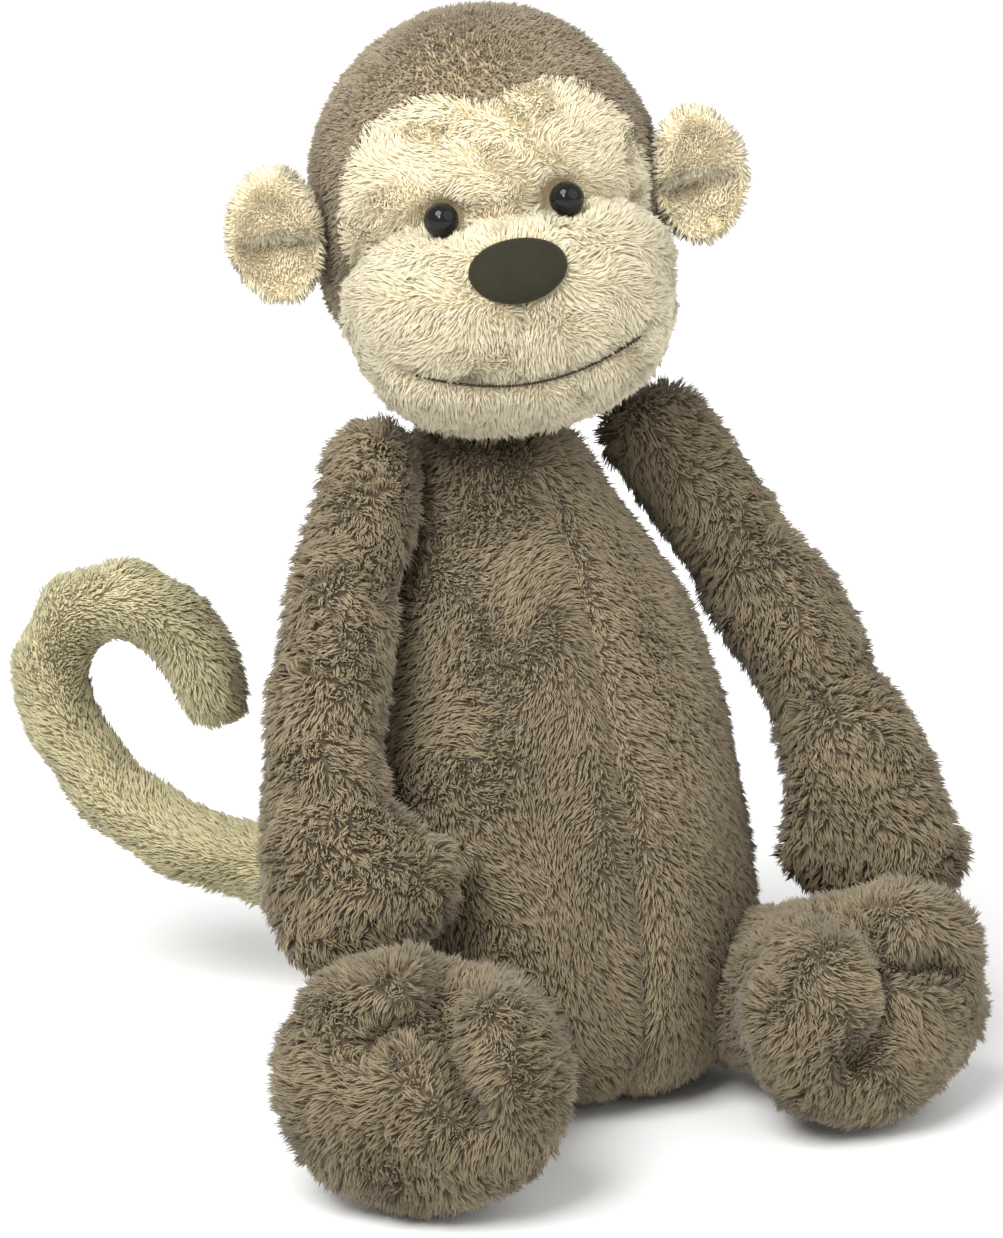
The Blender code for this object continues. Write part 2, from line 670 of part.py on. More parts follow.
def build_eye(label, spot, out, joint, looks):
    dome = [(EYE_RADIUS * math.cos(a), EYE_SEAT + EYE_SIDE + EYE_RADIUS * EYE_FLATNESS * math.sin(a))
            for a in np.radians((82, 62, 42, 20, 0))]
    shank = [(EYE_RADIUS - EYE_SEAT, EYE_SEAT), (SHANK_RADIUS, EYE_SEAT), (SHANK_RADIUS, SHANK_END),
             (SHANK_RADIUS / 2, SHANK_END - 1.0)]
    origin = tuple(joint["origin_mm"])
    ring_solid("eye_" + label, turned(dome + shank, spot, out), looks["bead"], joint, at=origin)
    near = -CLOTH - WASHER_BEHIND
    far = near - WASHER_THICK
    bore = SHANK_RADIUS + WASHER_SLACK
    washer = [(bore, near), (WASHER_RADIUS, near), (WASHER_RADIUS, far), (bore, far)]
    rings = np.array(turned(washer, spot, out))
    rows, columns = rings.shape[:2]
    faces = []
    for i in range(rows):
        for j in range(columns):
            k, m = (j + 1) % columns, (i + 1) % rows
            faces.append((i * columns + j, i * columns + k, m * columns + k, m * columns + j))
    solid("eye_" + label + "_washer", rings.reshape(-1, 3), faces, looks["washer"], joint, at=origin)


def smile(longitude):
    """The latitude of the smile seam on the muzzle, in radians."""
    rise = SMILE_RISE * (1 - np.exp(-(np.asarray(longitude) / math.radians(SMILE_WIDTH)) ** 2))
    return np.radians(SMILE_LOW + rise)


def muzzle_point(longitude, latitude, inset=0.0):
    """longitude 0 is straight ahead; positive to the monkey's left."""
    d = np.stack([np.cos(latitude) * np.sin(longitude), -np.cos(latitude) * np.cos(longitude),
                  np.sin(latitude)], -1)
    return np.asarray(MUZZLE_AT) + d * (np.asarray(MUZZLE) - inset)


def build_muzzle(joint, looks):
    origin = tuple(joint["origin_mm"])
    reach = math.radians(MUZZLE_REACH)
    lons = np.linspace(-reach, reach, 23)
    gap = SMILE_GAP / MUZZLE[2]
    pole = np.full(len(lons), math.radians(MUZZLE_POLE))
    for name, low, high in (("muzzle_upper_panel", smile(lons) + gap, pole),
                            ("muzzle_chin_panel", -pole, smile(lons) - gap)):
        grids = []
        for inset in (0.0, CLOTH):
            rows = []
            for share in np.linspace(0, 1, 7):
                lats = low + (high - low) * share
                rows.append(muzzle_point(lons, lats, inset))
            grids.append(np.array(rows))
        sheet_solid(name, grids[0], grids[1], looks["cream"], joint, at=origin)

    rings = []
    angles = np.linspace(-math.pi, math.pi, 24, endpoint=False)
    for latitude in np.linspace(math.radians(-84), math.radians(84), 11):
        rings.append(muzzle_point(angles, np.full(24, latitude), STUFF + FACET))
    ring_solid("muzzle_stuffing", rings, looks["fibre"], joint, at=origin)

    # a thread laid along the open seam of the smile
    span = math.radians(THREAD_REACH)
    lons = np.linspace(-span, span, 21)
    line = muzzle_point(lons, smile(lons), THREAD_SINK)
    along = unit(np.gradient(line, axis=0))
    out = unit((line - np.asarray(MUZZLE_AT)) / np.asarray(MUZZLE) ** 2)
    side = np.cross(along, out)
    angles = np.linspace(0, 2 * math.pi, 6, endpoint=False)
    rings = [p + THREAD_RADIUS * (np.cos(angles)[:, None] * o + np.sin(angles)[:, None] * s)
             for p, o, s in zip(line, out, side)]
    ring_solid("smile_thread", rings, looks["thread"], joint, at=origin)

    # the nose lies on the muzzle, over its cloth
    angles = np.linspace(0, 2 * math.pi, 24, endpoint=False)
    rings = []
    for share, lift in NOSE_SECTION:
        lons = math.radians(NOSE_SPREAD[0]) * share * np.cos(angles)
        lats = math.radians(NOSE_LATITUDE) + math.radians(NOSE_SPREAD[1]) * share * np.sin(angles)
        rings.append(muzzle_point(lons, lats, -lift))
    ring_solid("nose", rings, looks["nose"], joint, at=origin)


def build_ear(label, sign, joint, looks):
    """Two cupped leaves, sewn at the rim, that fold about their root."""
    root = (sign * EAR_AT[0], EAR_AT[1], EAR_AT[2])
    hinge = pivot("ear_" + label + "_pivot", root, joint)
    angles = np.linspace(0, 2 * math.pi, 20, endpoint=False)
    for leaf, near, far in (("front", -EAR_THICK, -EAR_CLEAR), ("back", EAR_CLEAR, EAR_THICK)):
        rings = []
        for side, shares in ((near, (0.05, 0.5, 0.8, 1.0)), (far, (1.0, 0.8, 0.5, 0.05))):
            for share in shares:
                x = root[0] + sign * (EAR[0] + EAR_CLEAR + EAR[0] * share * np.cos(angles))
                z = root[2] + EAR[1] * share * np.sin(angles)
                cup = EAR_CUP * (1 - share ** 2)
                edge = side if abs(side) < 1 else side * math.sqrt(max(1 - share ** 2, 0.06))
                rings.append(np.stack([x, np.full(len(angles), root[1] + cup + edge), z], 1))
        ring_solid("ear_" + label + "_" + leaf + "_leaf", np.array(rings), looks["cream"], hinge,
                   at=tuple(hinge["origin_mm"]))


# ---------------------------------------------------------------- the whole toy

def hip_cutter(leg):
    """The space that a leg's root sweeps inside the torso, as one fan-shaped solid."""
    hip, foot = np.asarray(leg[0], float), np.asarray(leg[1], float)
    radius = HIP_RADIUS + HIP_CLEAR
    inward = -1.0 if hip[0] > 0 else 1.0
    turn = math.atan2(foot[1] - hip[1], foot[0] - hip[0]) + inward * math.radians(LEG_SWING / 2)
    rise = (foot[2] - hip[2]) / math.hypot(foot[0] - hip[0], foot[1] - hip[1])
    ahead = np.array([math.cos(turn), math.sin(turn), rise])
    across = unit(np.cross(ahead, (0.0, 0.0, 1.0)))
    up = np.array([0.0, 0.0, 1.0])
    angles = np.linspace(0, 2 * math.pi, 28, endpoint=False)
    rings = []
    for phi in np.radians((80, 62, 45, 30, 15)):
        rings.append((-radius * math.sin(phi), radius * math.cos(phi), radius * math.cos(phi)))
    spread = math.tan(math.radians(LEG_SWING / 2 + SWING_SPARE))
    for reach in (0.0, 12.0, 24.0, 40.0):
        rings.append((reach, radius * 1.04 + reach * spread, radius * 1.02))
    loops = [hip + ahead * reach + np.outer(np.cos(angles) * wide, across)
             + np.outer(np.sin(angles) * high, up) for reach, wide, high in rings]
    return ring_solid("hip_space", loops, None)


def main():
    clear_scene()
    looks = {
        "plush": material("brown_plush", BROWN, 0.95),
        "cap": material("cap_plush", CAP_BROWN, 0.95),
        "cream": material("cream_plush", CREAM, 0.95),
        "tail": material("tail_plush", OLIVE_CREAM, 0.95),
        "nose": material("nose_suede", NOSE_BROWN, 0.8),
        "bead": material("black_bead", BLACK, 0.12),
        "fibre": material("stuffing_fibre", FIBRE, 0.9),
        "bag": material("pellet_bag_cloth", BAG, 0.85),
        "washer": material("washer_plastic", WASHER, 0.45),
        "thread": material("smile_thread", THREAD, 0.8),
    }

    panels = {}
    for label, start in (("front_left", -90), ("back_left", 0), ("back_right", 90), ("front_right", 180)):
        panels[label] = torso_panel("body_" + label + "_panel", start, looks["plush"])
    angles = np.linspace(0, 2 * math.pi, 36, endpoint=False)
    disc = [np.stack([r * np.cos(angles), TORSO[0][2] + r * np.sin(angles), np.full(36, z)], 1)
            for r, z in ((GUSSET_RADIUS, 0.0), (GUSSET_RADIUS, CLOTH))]
    gusset = ring_solid("body_base_gusset", disc, looks["plush"])
    gusset["origin_mm"] = [0.0, 0.0, 0.0]
    bag = torso_core("seat_pellet_bag", *SEAT_BAG, looks["bag"])
    stuffing = torso_core("body_stuffing", SEAT_BAG[1] + GAP, BODY_STUFFING_TOP, looks["fibre"])

    cutters = []
    for leg, label in ((LEG_LEFT, "front_left"), (LEG_RIGHT, "front_right")):
        space = hip_cutter(leg)
        for target in (panels[label], bag, stuffing):
            cut(target, [space])
        cutters.append(space)
    apply_and_remove([panels["front_left"], panels["front_right"], bag, stuffing], cutters)

    for obj in list(panels.values()) + [bag, stuffing]:
        obj.parent = gusset

    neck = pivot("neck_pivot", (0.0, HEAD_AT[1], NECK[0]), gusset)
    angles = np.linspace(0, 2 * math.pi, 32, endpoint=False)
    plug = [np.stack([r * np.cos(angles), HEAD_AT[1] + r * np.sin(angles), np.full(32, z)], 1)
            for r, z in ((NECK_RADIUS - NECK_BEVEL, NECK[0]), (NECK_RADIUS, NECK[0] + NECK_BEVEL),
                         (NECK_RADIUS, NECK[1] - NECK_BEVEL), (NECK_RADIUS - NECK_BEVEL, NECK[1]))]
    neck_plug = ring_solid("neck_plug", plug, looks["fibre"], neck, at=tuple(neck["origin_mm"]))

    nod = pivot("nod_pivot", (0.0, HEAD_AT[1], NECK[1]), neck, yaw=HEAD_YAW)
    lift = HEAD_AT[2] - NECK[1]
    nod["origin_mm"] = [0.0, 0.0, -lift]
    head = pivot("head_middle", (0.0, 0.0, 0.0), nod, roll=HEAD_ROLL)
    build_head(head, looks)
    chin_room = ball_cutter("chin_room", MUZZLE_AT, np.asarray(MUZZLE) + NOD_ROOM, head)
    cut(neck_plug, [chin_room])
    apply_and_remove([neck_plug], [chin_room])

    build_arm("left", ARM_LEFT, gusset, looks["plush"], looks["fibre"])
    build_arm("right", ARM_RIGHT, gusset, looks["plush"], looks["fibre"])
    build_leg("left", LEG_LEFT, gusset, looks["plush"], looks["plush"], looks["fibre"], looks["bag"])
    build_leg("right", LEG_RIGHT, gusset, looks["plush"], looks["plush"], looks["fibre"], looks["bag"])

    joint = pivot("tail_pivot", TAIL[0][:3], gusset)
    tail = Limb(TAIL, TAIL_SIDE, TAIL[0][3], TAIL_TIP, steps=1)
    tail.panel("tail_outer_panel", -90, 180, looks["tail"], joint, columns=7)
    tail.panel("tail_inner_panel", 90, 180, looks["tail"], joint, columns=7)
    tail.core("tail_stuffing", looks["fibre"], joint, columns=12)


main()
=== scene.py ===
import math

import bmesh
import bpy
import numpy as np
from mathutils import Matrix, Vector, kdtree


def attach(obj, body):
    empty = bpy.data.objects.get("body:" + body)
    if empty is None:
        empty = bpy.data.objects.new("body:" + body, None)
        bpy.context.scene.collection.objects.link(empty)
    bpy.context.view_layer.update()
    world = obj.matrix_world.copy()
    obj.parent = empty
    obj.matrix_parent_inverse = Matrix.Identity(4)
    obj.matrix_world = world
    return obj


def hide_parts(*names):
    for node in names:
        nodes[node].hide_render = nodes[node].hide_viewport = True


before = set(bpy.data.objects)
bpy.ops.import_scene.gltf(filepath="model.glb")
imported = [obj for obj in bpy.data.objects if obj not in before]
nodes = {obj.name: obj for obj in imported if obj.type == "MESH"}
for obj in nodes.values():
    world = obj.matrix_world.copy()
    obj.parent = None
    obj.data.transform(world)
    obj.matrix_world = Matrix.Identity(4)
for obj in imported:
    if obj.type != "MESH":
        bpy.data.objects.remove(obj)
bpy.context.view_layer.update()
scene = bpy.context.scene
rng = np.random.default_rng(11)

MM = 0.001

# The head's own frame, in millimetres, as the CAD has it
HEAD_AT = np.array((0.0, 27.0, 229.5))
HEAD_YAW, HEAD_ROLL = -22.0, -8.5
SKULL = np.array((46.0, 44.0, 48.0))
# The pile makes the muzzle plumper at its top than the CAD's cloth, and the nape fuller
MUZZLE_AT = np.array((0.0, -26.0, -25.6))
MUZZLE = np.array((42.2, 32.0, 33.4))
# 2 would be an ellipsoid; more fills the muzzle out towards its cheeks
MUZZLE_SQUARE = 2.5
# The head's skin lies about this far inside these shapes
HEAD_INSET = 2.5
NAPE_AT = (0.0, 4.0, -17.0)
NAPE = (46.5, 42.0, 36.5)
EYE_AT = (16.0, 2.2)
EYE_RADIUS = 4.5
# The nose's place and half widths, and half of the mouth, in degrees round the muzzle
NOSE_LATITUDE = 26.4
NOSE_SPREAD = (18.8, 14.6)
NOSE_PLUMP = 2.6
MOUTH_SPAN = 45.0
MOUTH_LOW, MOUTH_RISE, MOUTH_WIDTH = -29.6, 23.0, 47.0
# Under the nose, the latitudes between which the muzzle is drawn in
PHILTRUM = (22, 2)
# The hairline: degrees from the middle of the face, its drop over the brow and its small peak
HAIRLINE, BROW_DROP, BROW_WIDTH, PEAK_DROP, PEAK_WIDTH = 68.0, 19.0, 1.05, 9.0, 0.30
EAR_AT = (45.1, -12.0, 0.0)
EAR = (11.4, 17.0)
EAR_THICK = 3.6
# The upper lobe of an ear stands this far before the lower one, past a groove at this height
EAR_LOBE, EAR_GROOVE, EAR_CREASE = 7.6, 3.0, -0.5
EAR_SHIFT = {1.0: (-3.5, -1.0, -2.5), -1.0: (0.5, 0.0, 0.0)}
NECK_AT = (0.0, 27.0)
NECK_Z = (164.0, 186.0)
NECK_RADIUS, NECK_PINCH = 16.5, 5.0

# Torso: height, centre along X and Y, half width, half depth
TORSO = np.array((
    (0.0, 0.0, -2.0, 38.5, 38.5), (2.5, 0.0, -2.0, 45.5, 45.5), (10.0, 0.0, -2.0, 54.0, 54.0),
    (22.0, 0.0, -1.0, 59.0, 59.0), (38.0, 0.0, 1.0, 60.5, 60.5), (60.0, 0.0, 4.0, 59.5, 60.0),
    (80.0, 0.5, 8.0, 56.8, 58.0), (100.0, 1.5, 13.0, 53.5, 54.0), (118.0, 2.5, 18.0, 49.0, 49.0),
    (130.0, 3.0, 21.0, 43.5, 44.5), (140.0, 3.5, 23.5, 37.0, 39.5), (148.0, 3.5, 25.5, 31.5, 35.0),
    (156.0, 3.5, 27.0, 27.5, 30.0), (163.0, 3.0, 27.5, 24.5, 25.5), (168.0, 2.5, 27.5, 18.0, 18.5),
))

# Hip centre and foot centre, foot half width and half height
LEGS = {
    "left": ((40.0, -31.0, 24.0), (51.5, -81.0, 32.0), 39.5, 31.6),
    "right": ((-31.5, -33.5, 24.0), (-79.0, -84.0, 34.5), 38.5, 34.0),
}
FOOT_DEPTH = 22.0
ARM_LINES = {
    "left": ((46.5, 19, 160.5), (57.5, 8, 142), (66.5, -6, 121.5), (72, -21, 101), (76.5, -37.5, 79.5),
             (82, -48, 54.5)),
    "right": ((-36.5, 20, 162.5), (-48, 9, 145.5), (-61, -5, 124), (-70.8, -16.5, 98), (-74.6, -30, 77.5),
              (-73.4, -40.5, 62.5)),
}
TAIL_LINE = ((-3, 69.8, 24), (-22, 75, 31), (-39, 86, 37), (-55, 99, 43), (-70, 112, 55), (-80, 120, 73),
             (-83, 121.5, 91.5), (-78, 116.5, 106), (-67, 106, 110.5), (-57, 97, 104), (-50.5, 92, 93),
             (-48.5, 91, 84))


def unit(v):
    v = np.asarray(v, float)
    return v / np.maximum(np.linalg.norm(v, axis=-1, keepdims=True), 1e-12)


def circle(count):
    """Angles evenly round a circle."""
    return np.linspace(0, 2 * math.pi, count, endpoint=False)


def around(angles, side, other):
    return np.cos(angles)[:, None] * side + np.sin(angles)[:, None] * other


def level_ring(angles, z, x, y, wide, deep):
    return np.stack([x + wide * np.cos(angles), y + deep * np.sin(angles), np.full(len(angles), z)], 1)


def turn_matrix(yaw, roll):
    about_z = Matrix.Rotation(math.radians(yaw), 3, "Z")
    about_y = Matrix.Rotation(math.radians(roll), 3, "Y")
    return np.array(about_z @ about_y)


HEAD_TURN = turn_matrix(HEAD_YAW, HEAD_ROLL)


def head_to_world(p):
    """Head millimetres to metres of the row frame."""
    return (np.asarray(p, float) @ HEAD_TURN.T + HEAD_AT) * MM


def world_to_head(p):
    return (np.asarray(p, float) / MM - HEAD_AT) @ HEAD_TURN


# ---------------- materials

class Graph:
    """Small helper for node materials."""

    def __init__(self, name):
        self.mat = bpy.data.materials.new(name)
        self.mat.use_nodes = True
        self.tree = self.mat.node_tree
        self.shader = self.tree.nodes["Principled BSDF"]

    def node(self, kind, **values):
        n = self.tree.nodes.new(kind)
        for key, value in values.items():
            if hasattr(n, key):
                setattr(n, key, value)
            else:
                n.inputs[key.replace("_", " ")].default_value = value
        return n

    def link(self, a, b):
        self.tree.links.new(a, b)

    def attribute(self, name):
        return self.node("ShaderNodeAttribute", attribute_name=name).outputs["Fac"]

    def noise(self, scale, detail=3.0):
        where = self.node("ShaderNodeTexCoord").outputs["Object"]
        n = self.node("ShaderNodeTexNoise", Scale=scale, Detail=detail, Roughness=0.55)
        self.link(where, n.inputs["Vector"])
        return n.outputs["Fac"]

    def stretch(self, value, low, high, to_low, to_high):
        n = self.node("ShaderNodeMapRange")
        keys = ("From Min", "From Max", "To Min", "To Max")
        for key, number in zip(keys, (low, high, to_low, to_high)):
            n.inputs[key].default_value = number
        self.link(value, n.inputs["Value"])
        return n.outputs["Result"]

    def math(self, operation, a, b):
        n = self.node("ShaderNodeMath", operation=operation)
        for socket, value in zip(n.inputs, (a, b)):
            if isinstance(value, (int, float)):
                socket.default_value = value
            else:
                self.link(value, socket)
        return n.outputs[0]

    def mix(self, factor, a, b, blend="MIX"):
        n = self.node("ShaderNodeMix", data_type="RGBA", blend_type=blend)
        for key, value in ((0, factor), (6, a), (7, b)):
            if isinstance(value, (int, float)):
                n.inputs[key].default_value = value
            elif isinstance(value, tuple):
                n.inputs[key].default_value = (*value, 1.0)
            else:
                self.link(value, n.inputs[key])
        return n.outputs[2]

    def grey(self, value):
        n = self.node("ShaderNodeCombineColor")
        for socket in n.inputs:
            self.link(value, socket)
        return n.outputs["Color"]

    def surface(self, colour, roughness, specular=0.5):
        self.link(colour, self.shader.inputs["Base Color"])
        self.shader.inputs["Roughness"].default_value = roughness
        self.shader.inputs["Specular IOR Level"].default_value = specular

    def bump(self, height, strength, distance):
        n = self.node("ShaderNodeBump", Strength=strength, Distance=distance)
        self.link(height, n.inputs["Height"])
        self.link(n.outputs["Normal"], self.shader.inputs["Normal"])


def fur_material(name, root, tip, patch=0.10):
    """Pile: painted shade at the root and painted light at the tip of each lock, each lock its own tone,
    and broad soft patches.
    """
    g = Graph(name)
    # painted shade and light: the colour runs from a dark root to a light tip along each lock
    colour = g.mix(g.attribute("along"), root, tip)
    broad = g.stretch(g.noise(38.0, 2.0), 0.3, 0.7, 1.0 - patch, 1.0 + patch)
    tone = g.math("MULTIPLY", g.attribute("tone"), broad)
    colour = g.mix(1.0, colour, g.grey(tone), "MULTIPLY")
    g.surface(colour, 0.72, 0.22)
    g.shader.inputs["Sheen Weight"].default_value = 0.12
    g.shader.inputs["Sheen Roughness"].default_value = 0.5
    g.bump(g.noise(2600.0, 2.0), 0.15, 0.0002)
    return g.mat


def skin_material(name, low, high):
    """The knitted backing seen between the locks, coloured darker than the pile as painted shade in the
    gaps between them.
    """
    g = Graph(name)
    colour = g.mix(g.stretch(g.noise(900.0), 0.3, 0.7, 0.0, 1.0), low, high)
    g.surface(colour, 0.95)
    g.bump(g.noise(1400.0), 0.6, 0.0006)
    return g.mat


def suede_material(name, low, high):
    g = Graph(name)
    fine = g.noise(5200.0, 4.0)
    broad = g.noise(160.0, 2.0)
    colour = g.mix(g.stretch(fine, 0.35, 0.65, 0.0, 1.0), low, high)
    colour = g.mix(1.0, colour, g.grey(g.stretch(broad, 0.3, 0.7, 0.9, 1.1)), "MULTIPLY")
    g.surface(colour, 0.78, 0.2)
    g.shader.inputs["Sheen Weight"].default_value = 0.06
    g.bump(fine, 0.25, 0.00015)
    return g.mat


def bead_material(name):
    g = Graph(name)
    g.surface(g.mix(g.noise(300.0), (0.004, 0.004, 0.004), (0.010, 0.009, 0.008)), 0.05, 0.3)
    return g.mat


def thread_material(name):
    g = Graph(name)
    g.surface(g.mix(g.noise(2500.0), (0.030, 0.022, 0.012), (0.075, 0.058, 0.034)), 0.85)
    g.bump(g.noise(5000.0), 0.3, 0.0001)
    return g.mat


def floor_material(name):
    g = Graph(name)
    g.surface(g.mix(g.noise(6.0), (0.90, 0.90, 0.895), (0.93, 0.93, 0.925)), 0.9, 0.1)
    return g.mat


FUR = {
    "brown": fur_material("brown_pile", (0.155, 0.118, 0.072), (0.366, 0.297, 0.186)),
    "cap": fur_material("cap_pile", (0.265, 0.211, 0.140), (0.475, 0.388, 0.264), 0.07),
    "cream": fur_material("cream_pile", (0.790, 0.690, 0.475), (0.915, 0.832, 0.600), 0.05),
    "tail": fur_material("tail_pile", (0.450, 0.398, 0.226), (0.735, 0.664, 0.405), 0.07),
}
# backings darker than their pile: painted shade between the locks
SKIN = {
    "brown": skin_material("brown_shaded_backing", (0.090, 0.069, 0.045), (0.145, 0.113, 0.075)),
    "cream": skin_material("cream_shaded_backing", (0.540, 0.440, 0.260), (0.660, 0.550, 0.345)),
    "tail": skin_material("tail_shaded_backing", (0.260, 0.225, 0.125), (0.345, 0.305, 0.178)),
}


# ---------------- meshes

def put(name, mesh, look):
    obj = bpy.data.objects.new(name, mesh)
    scene.collection.objects.link(obj)
    mesh.materials.clear()
    mesh.materials.append(look)
    return obj


def coords(mesh):
    out = np.empty(len(mesh.vertices) * 3, np.float32)
    mesh.vertices.foreach_get("co", out)
    return out.reshape(-1, 3).astype(float)


def set_coords(mesh, points):
    mesh.vertices.foreach_set("co", np.asarray(points, np.float32).ravel())
    mesh.update()


def normals(mesh):
    out = np.empty(len(mesh.vertices) * 3, np.float32)
    mesh.vertices.foreach_get("normal", out)
    return out.reshape(-1, 3).astype(float)


def rings_mesh(name, rings):
    """A solid through rings of points in metres, with a fan of faces over each end."""
    rings = np.asarray(rings, float)
    columns = rings.shape[1]
    bm = bmesh.new()
    verts = [[bm.verts.new(p) for p in ring] for ring in rings]
    for a, b in zip(verts[:-1], verts[1:]):
        for j in range(columns):
            k = (j + 1) % columns
            bm.faces.new((a[j], a[k], b[k], b[j]))
    for ring in (verts[0], verts[-1]):
        middle = bm.verts.new(sum((v.co for v in ring), Vector()) / columns)
        for j in range(columns):
            bm.faces.new((ring[j], ring[(j + 1) % columns], middle))
    bmesh.ops.recalc_face_normals(bm, faces=bm.faces)
    mesh = bpy.data.meshes.new(name)
    bm.to_mesh(mesh)
    bm.free()
    for polygon in mesh.polygons:
        polygon.use_smooth = True
    return mesh


def ellipsoid(name, centre, radii, fullness=None):
    """An ellipsoid in head millimetres; fullness gives a factor on its radius for a direction."""
    pole = math.pi / 2 - 0.03
    lats = np.linspace(-pole, pole, 40)
    angles = circle(72)
    rings = []
    for lat in lats:
        ring = level_ring(angles, math.sin(lat), 0.0, 0.0, math.cos(lat), math.cos(lat))
        if fullness:
            ring = ring * fullness(ring)
        rings.append(head_to_world(np.asarray(centre) + ring * np.asarray(radii)))
    return rings_mesh(name, rings)


def joined(name, meshes, look):
    bm = bmesh.new()
    for mesh in meshes:
        bm.from_mesh(mesh)
    mesh = bpy.data.meshes.new(name)
    bm.to_mesh(mesh)
    bm.free()
    return put(name, mesh, look)


def take_modifiers(obj):
    graph = bpy.context.evaluated_depsgraph_get()
    made = bpy.data.meshes.new_from_object(obj.evaluated_get(graph), depsgraph=graph)
    obj.modifiers.clear()
    obj.data = made


def keep_largest(obj):
    """Drops the small shells that a remesh leaves inside."""
    bm = bmesh.new()
    bm.from_mesh(obj.data)
    seen, groups = set(), []
    for start in bm.verts:
        if start in seen:
            continue
        group = [start]
        seen.add(start)
        for v in group:
            for e in v.link_edges:
                w = e.other_vert(v)
                if w not in seen:
                    seen.add(w)
                    group.append(w)
        groups.append(group)
    groups.sort(key=len, reverse=True)
    for group in groups[1:]:
        bmesh.ops.delete(bm, geom=group, context="VERTS")
    bm.to_mesh(obj.data)
    bm.free()


def relax(obj, rounds):
    bm = bmesh.new()
    bm.from_mesh(obj.data)
    for _ in range(rounds):
        bmesh.ops.smooth_vert(bm, verts=bm.verts, factor=0.5,
                              use_axis_x=True, use_axis_y=True, use_axis_z=True)
    bm.to_mesh(obj.data)
    bm.free()


# Each soft body's colour, its skin's voxel size, how far that lies inside the shape it comes from,
# the rounds of smoothing, the height and length of the lumps of its stuffing, and how full it is
BODIES = {
    "torso": ("brown", 3.2, 3.6, 4, 0.9, 42, 0.85),
    "arm": ("brown", 2.8, 2.5, 4, 0.8, 26, 0.70),
    "leg": ("brown", 3.0, 2.6, 4, 0.9, 28, 0.75),
    "tail": ("tail", 2.4, 1.7, 4, 0.4, 30, 0.80),
    "head": ("cream", 2.2, HEAD_INSET, 2, 0.3, 24, 0.95),
}
# The cloth's air pressure, how many frames it runs for and the most it may move a point, in millimetres
PRESSURE, PUFF_FRAMES, PUFF_CAP = 4.0, 20, 1.1


def make_skin(name, meshes, body):
    """The sewn skin under the pile: the given shapes joined by a remesh and moved inward."""
    kind, voxel, inset, smooth = BODIES[body][:4]
    obj = joined(name, meshes, SKIN[kind])
    step = obj.modifiers.new("voxels", "REMESH")
    step.mode = "VOXEL"
    step.voxel_size = voxel * MM
    take_modifiers(obj)
    keep_largest(obj)
    relax(obj, smooth)
    obj.data.update()
    set_coords(obj.data, coords(obj.data) - normals(obj.data) * inset * MM)
    relax(obj, 2)
    obj.data.update()
    return obj


def puff(objs):
    """Air pressure in every skin at once, then each point's movement held under the cap."""
    limit = PUFF_CAP * MM
    for obj in objs:
        cloth = obj.modifiers.new("cloth", "CLOTH")
        s = cloth.settings
        s.quality = 4
        s.mass = 0.2
        s.tension_stiffness = 12.0
        s.compression_stiffness = 6.0
        s.bending_stiffness = 0.3
        s.use_pressure = True
        s.uniform_pressure_force = PRESSURE
        s.effector_weights.gravity = 0.0
    for number in range(1, PUFF_FRAMES + 1):
        scene.frame_set(number)
    graph = bpy.context.evaluated_depsgraph_get()
    for obj in objs:
        start = coords(obj.data)
        moved = coords(obj.evaluated_get(graph).data) - start
        size = np.linalg.norm(moved, axis=1, keepdims=True)
        moved *= np.minimum(1.0, limit / np.maximum(size, 1e-9))
        obj.modifiers.clear()
        set_coords(obj.data, start + moved)
    scene.frame_set(1)


def subdivide(obj):
    step = obj.modifiers.new("smooth", "SUBSURF")
    step.levels = step.render_levels = 1
    take_modifiers(obj)
    for polygon in obj.data.polygons:
        polygon.use_smooth = True


def line_distance(points, line):
    """Distance in millimetres from points (metres) to a polyline (millimetres)."""
    p = points / MM
    line = np.asarray(line, float)
    best = np.full(len(p), 1e9)
    for a, b in zip(line[:-1], line[1:]):
        d = b - a
        t = np.clip((p - a) @ d / max(d @ d, 1e-9), 0, 1)
        best = np.minimum(best, np.linalg.norm(p - a - t[:, None] * d, axis=1))
    return best


# How deep and how wide each seam or crease is pressed into a skin; below zero it swells instead
PRESS = {
    "centre_seam": (3.4, 2.8), "big_toe_pad": (-4.4, 10.0), "small_toe_pad": (-3.2, 10.0),
    "toe_crease": (11.0, 4.2), "pad_crease": (7.0, 3.6), "toe_notch": (8.5, 4.4), "arm_fold": (1.6, 4.4),
    "muzzle_swell": (-2.4, 6.0), "muzzle_rim": (4.8, 2.8), "mouth": (3.0, 2.8), "philtrum": (2.2, 2.4),
    "eye": (3.6, 6.2),
}


def press(obj, line, kind):
    """A sewn channel or crease: points near the line go inward."""
    depth, width = PRESS[kind]
    p = coords(obj.data)
    push = depth * np.exp(-(line_distance(p, line) / width) ** 2) * MM
    set_coords(obj.data, p - normals(obj.data) * push[:, None])


def waves(points, scale, seed):
    """Smooth vector noise from a few sine waves; scale is the wavelength in millimetres."""
    count = 9
    local = np.random.default_rng(seed)
    p = points / MM
    out = np.zeros((len(p), 3))
    for _ in range(count):
        k = unit(local.normal(size=3)) * 2 * math.pi / scale * local.uniform(0.6, 1.5)
        out += local.normal(size=3) * np.sin(p @ k + local.uniform(0, 2 * math.pi))[:, None]
    return out / math.sqrt(count)


# The lowest that a skin, the middle line of a lock and a lock's corners may come
SKIN_LOW, LOCK_LOW, CORNER_LOW = 0.4, 0.15, 0.05


def lumps(obj, height, scale, seed):
    p = coords(obj.data)
    wave = waves(p, scale, seed)[:, 0]
    set_coords(obj.data, p + normals(obj.data) * (wave * height * MM)[:, None])


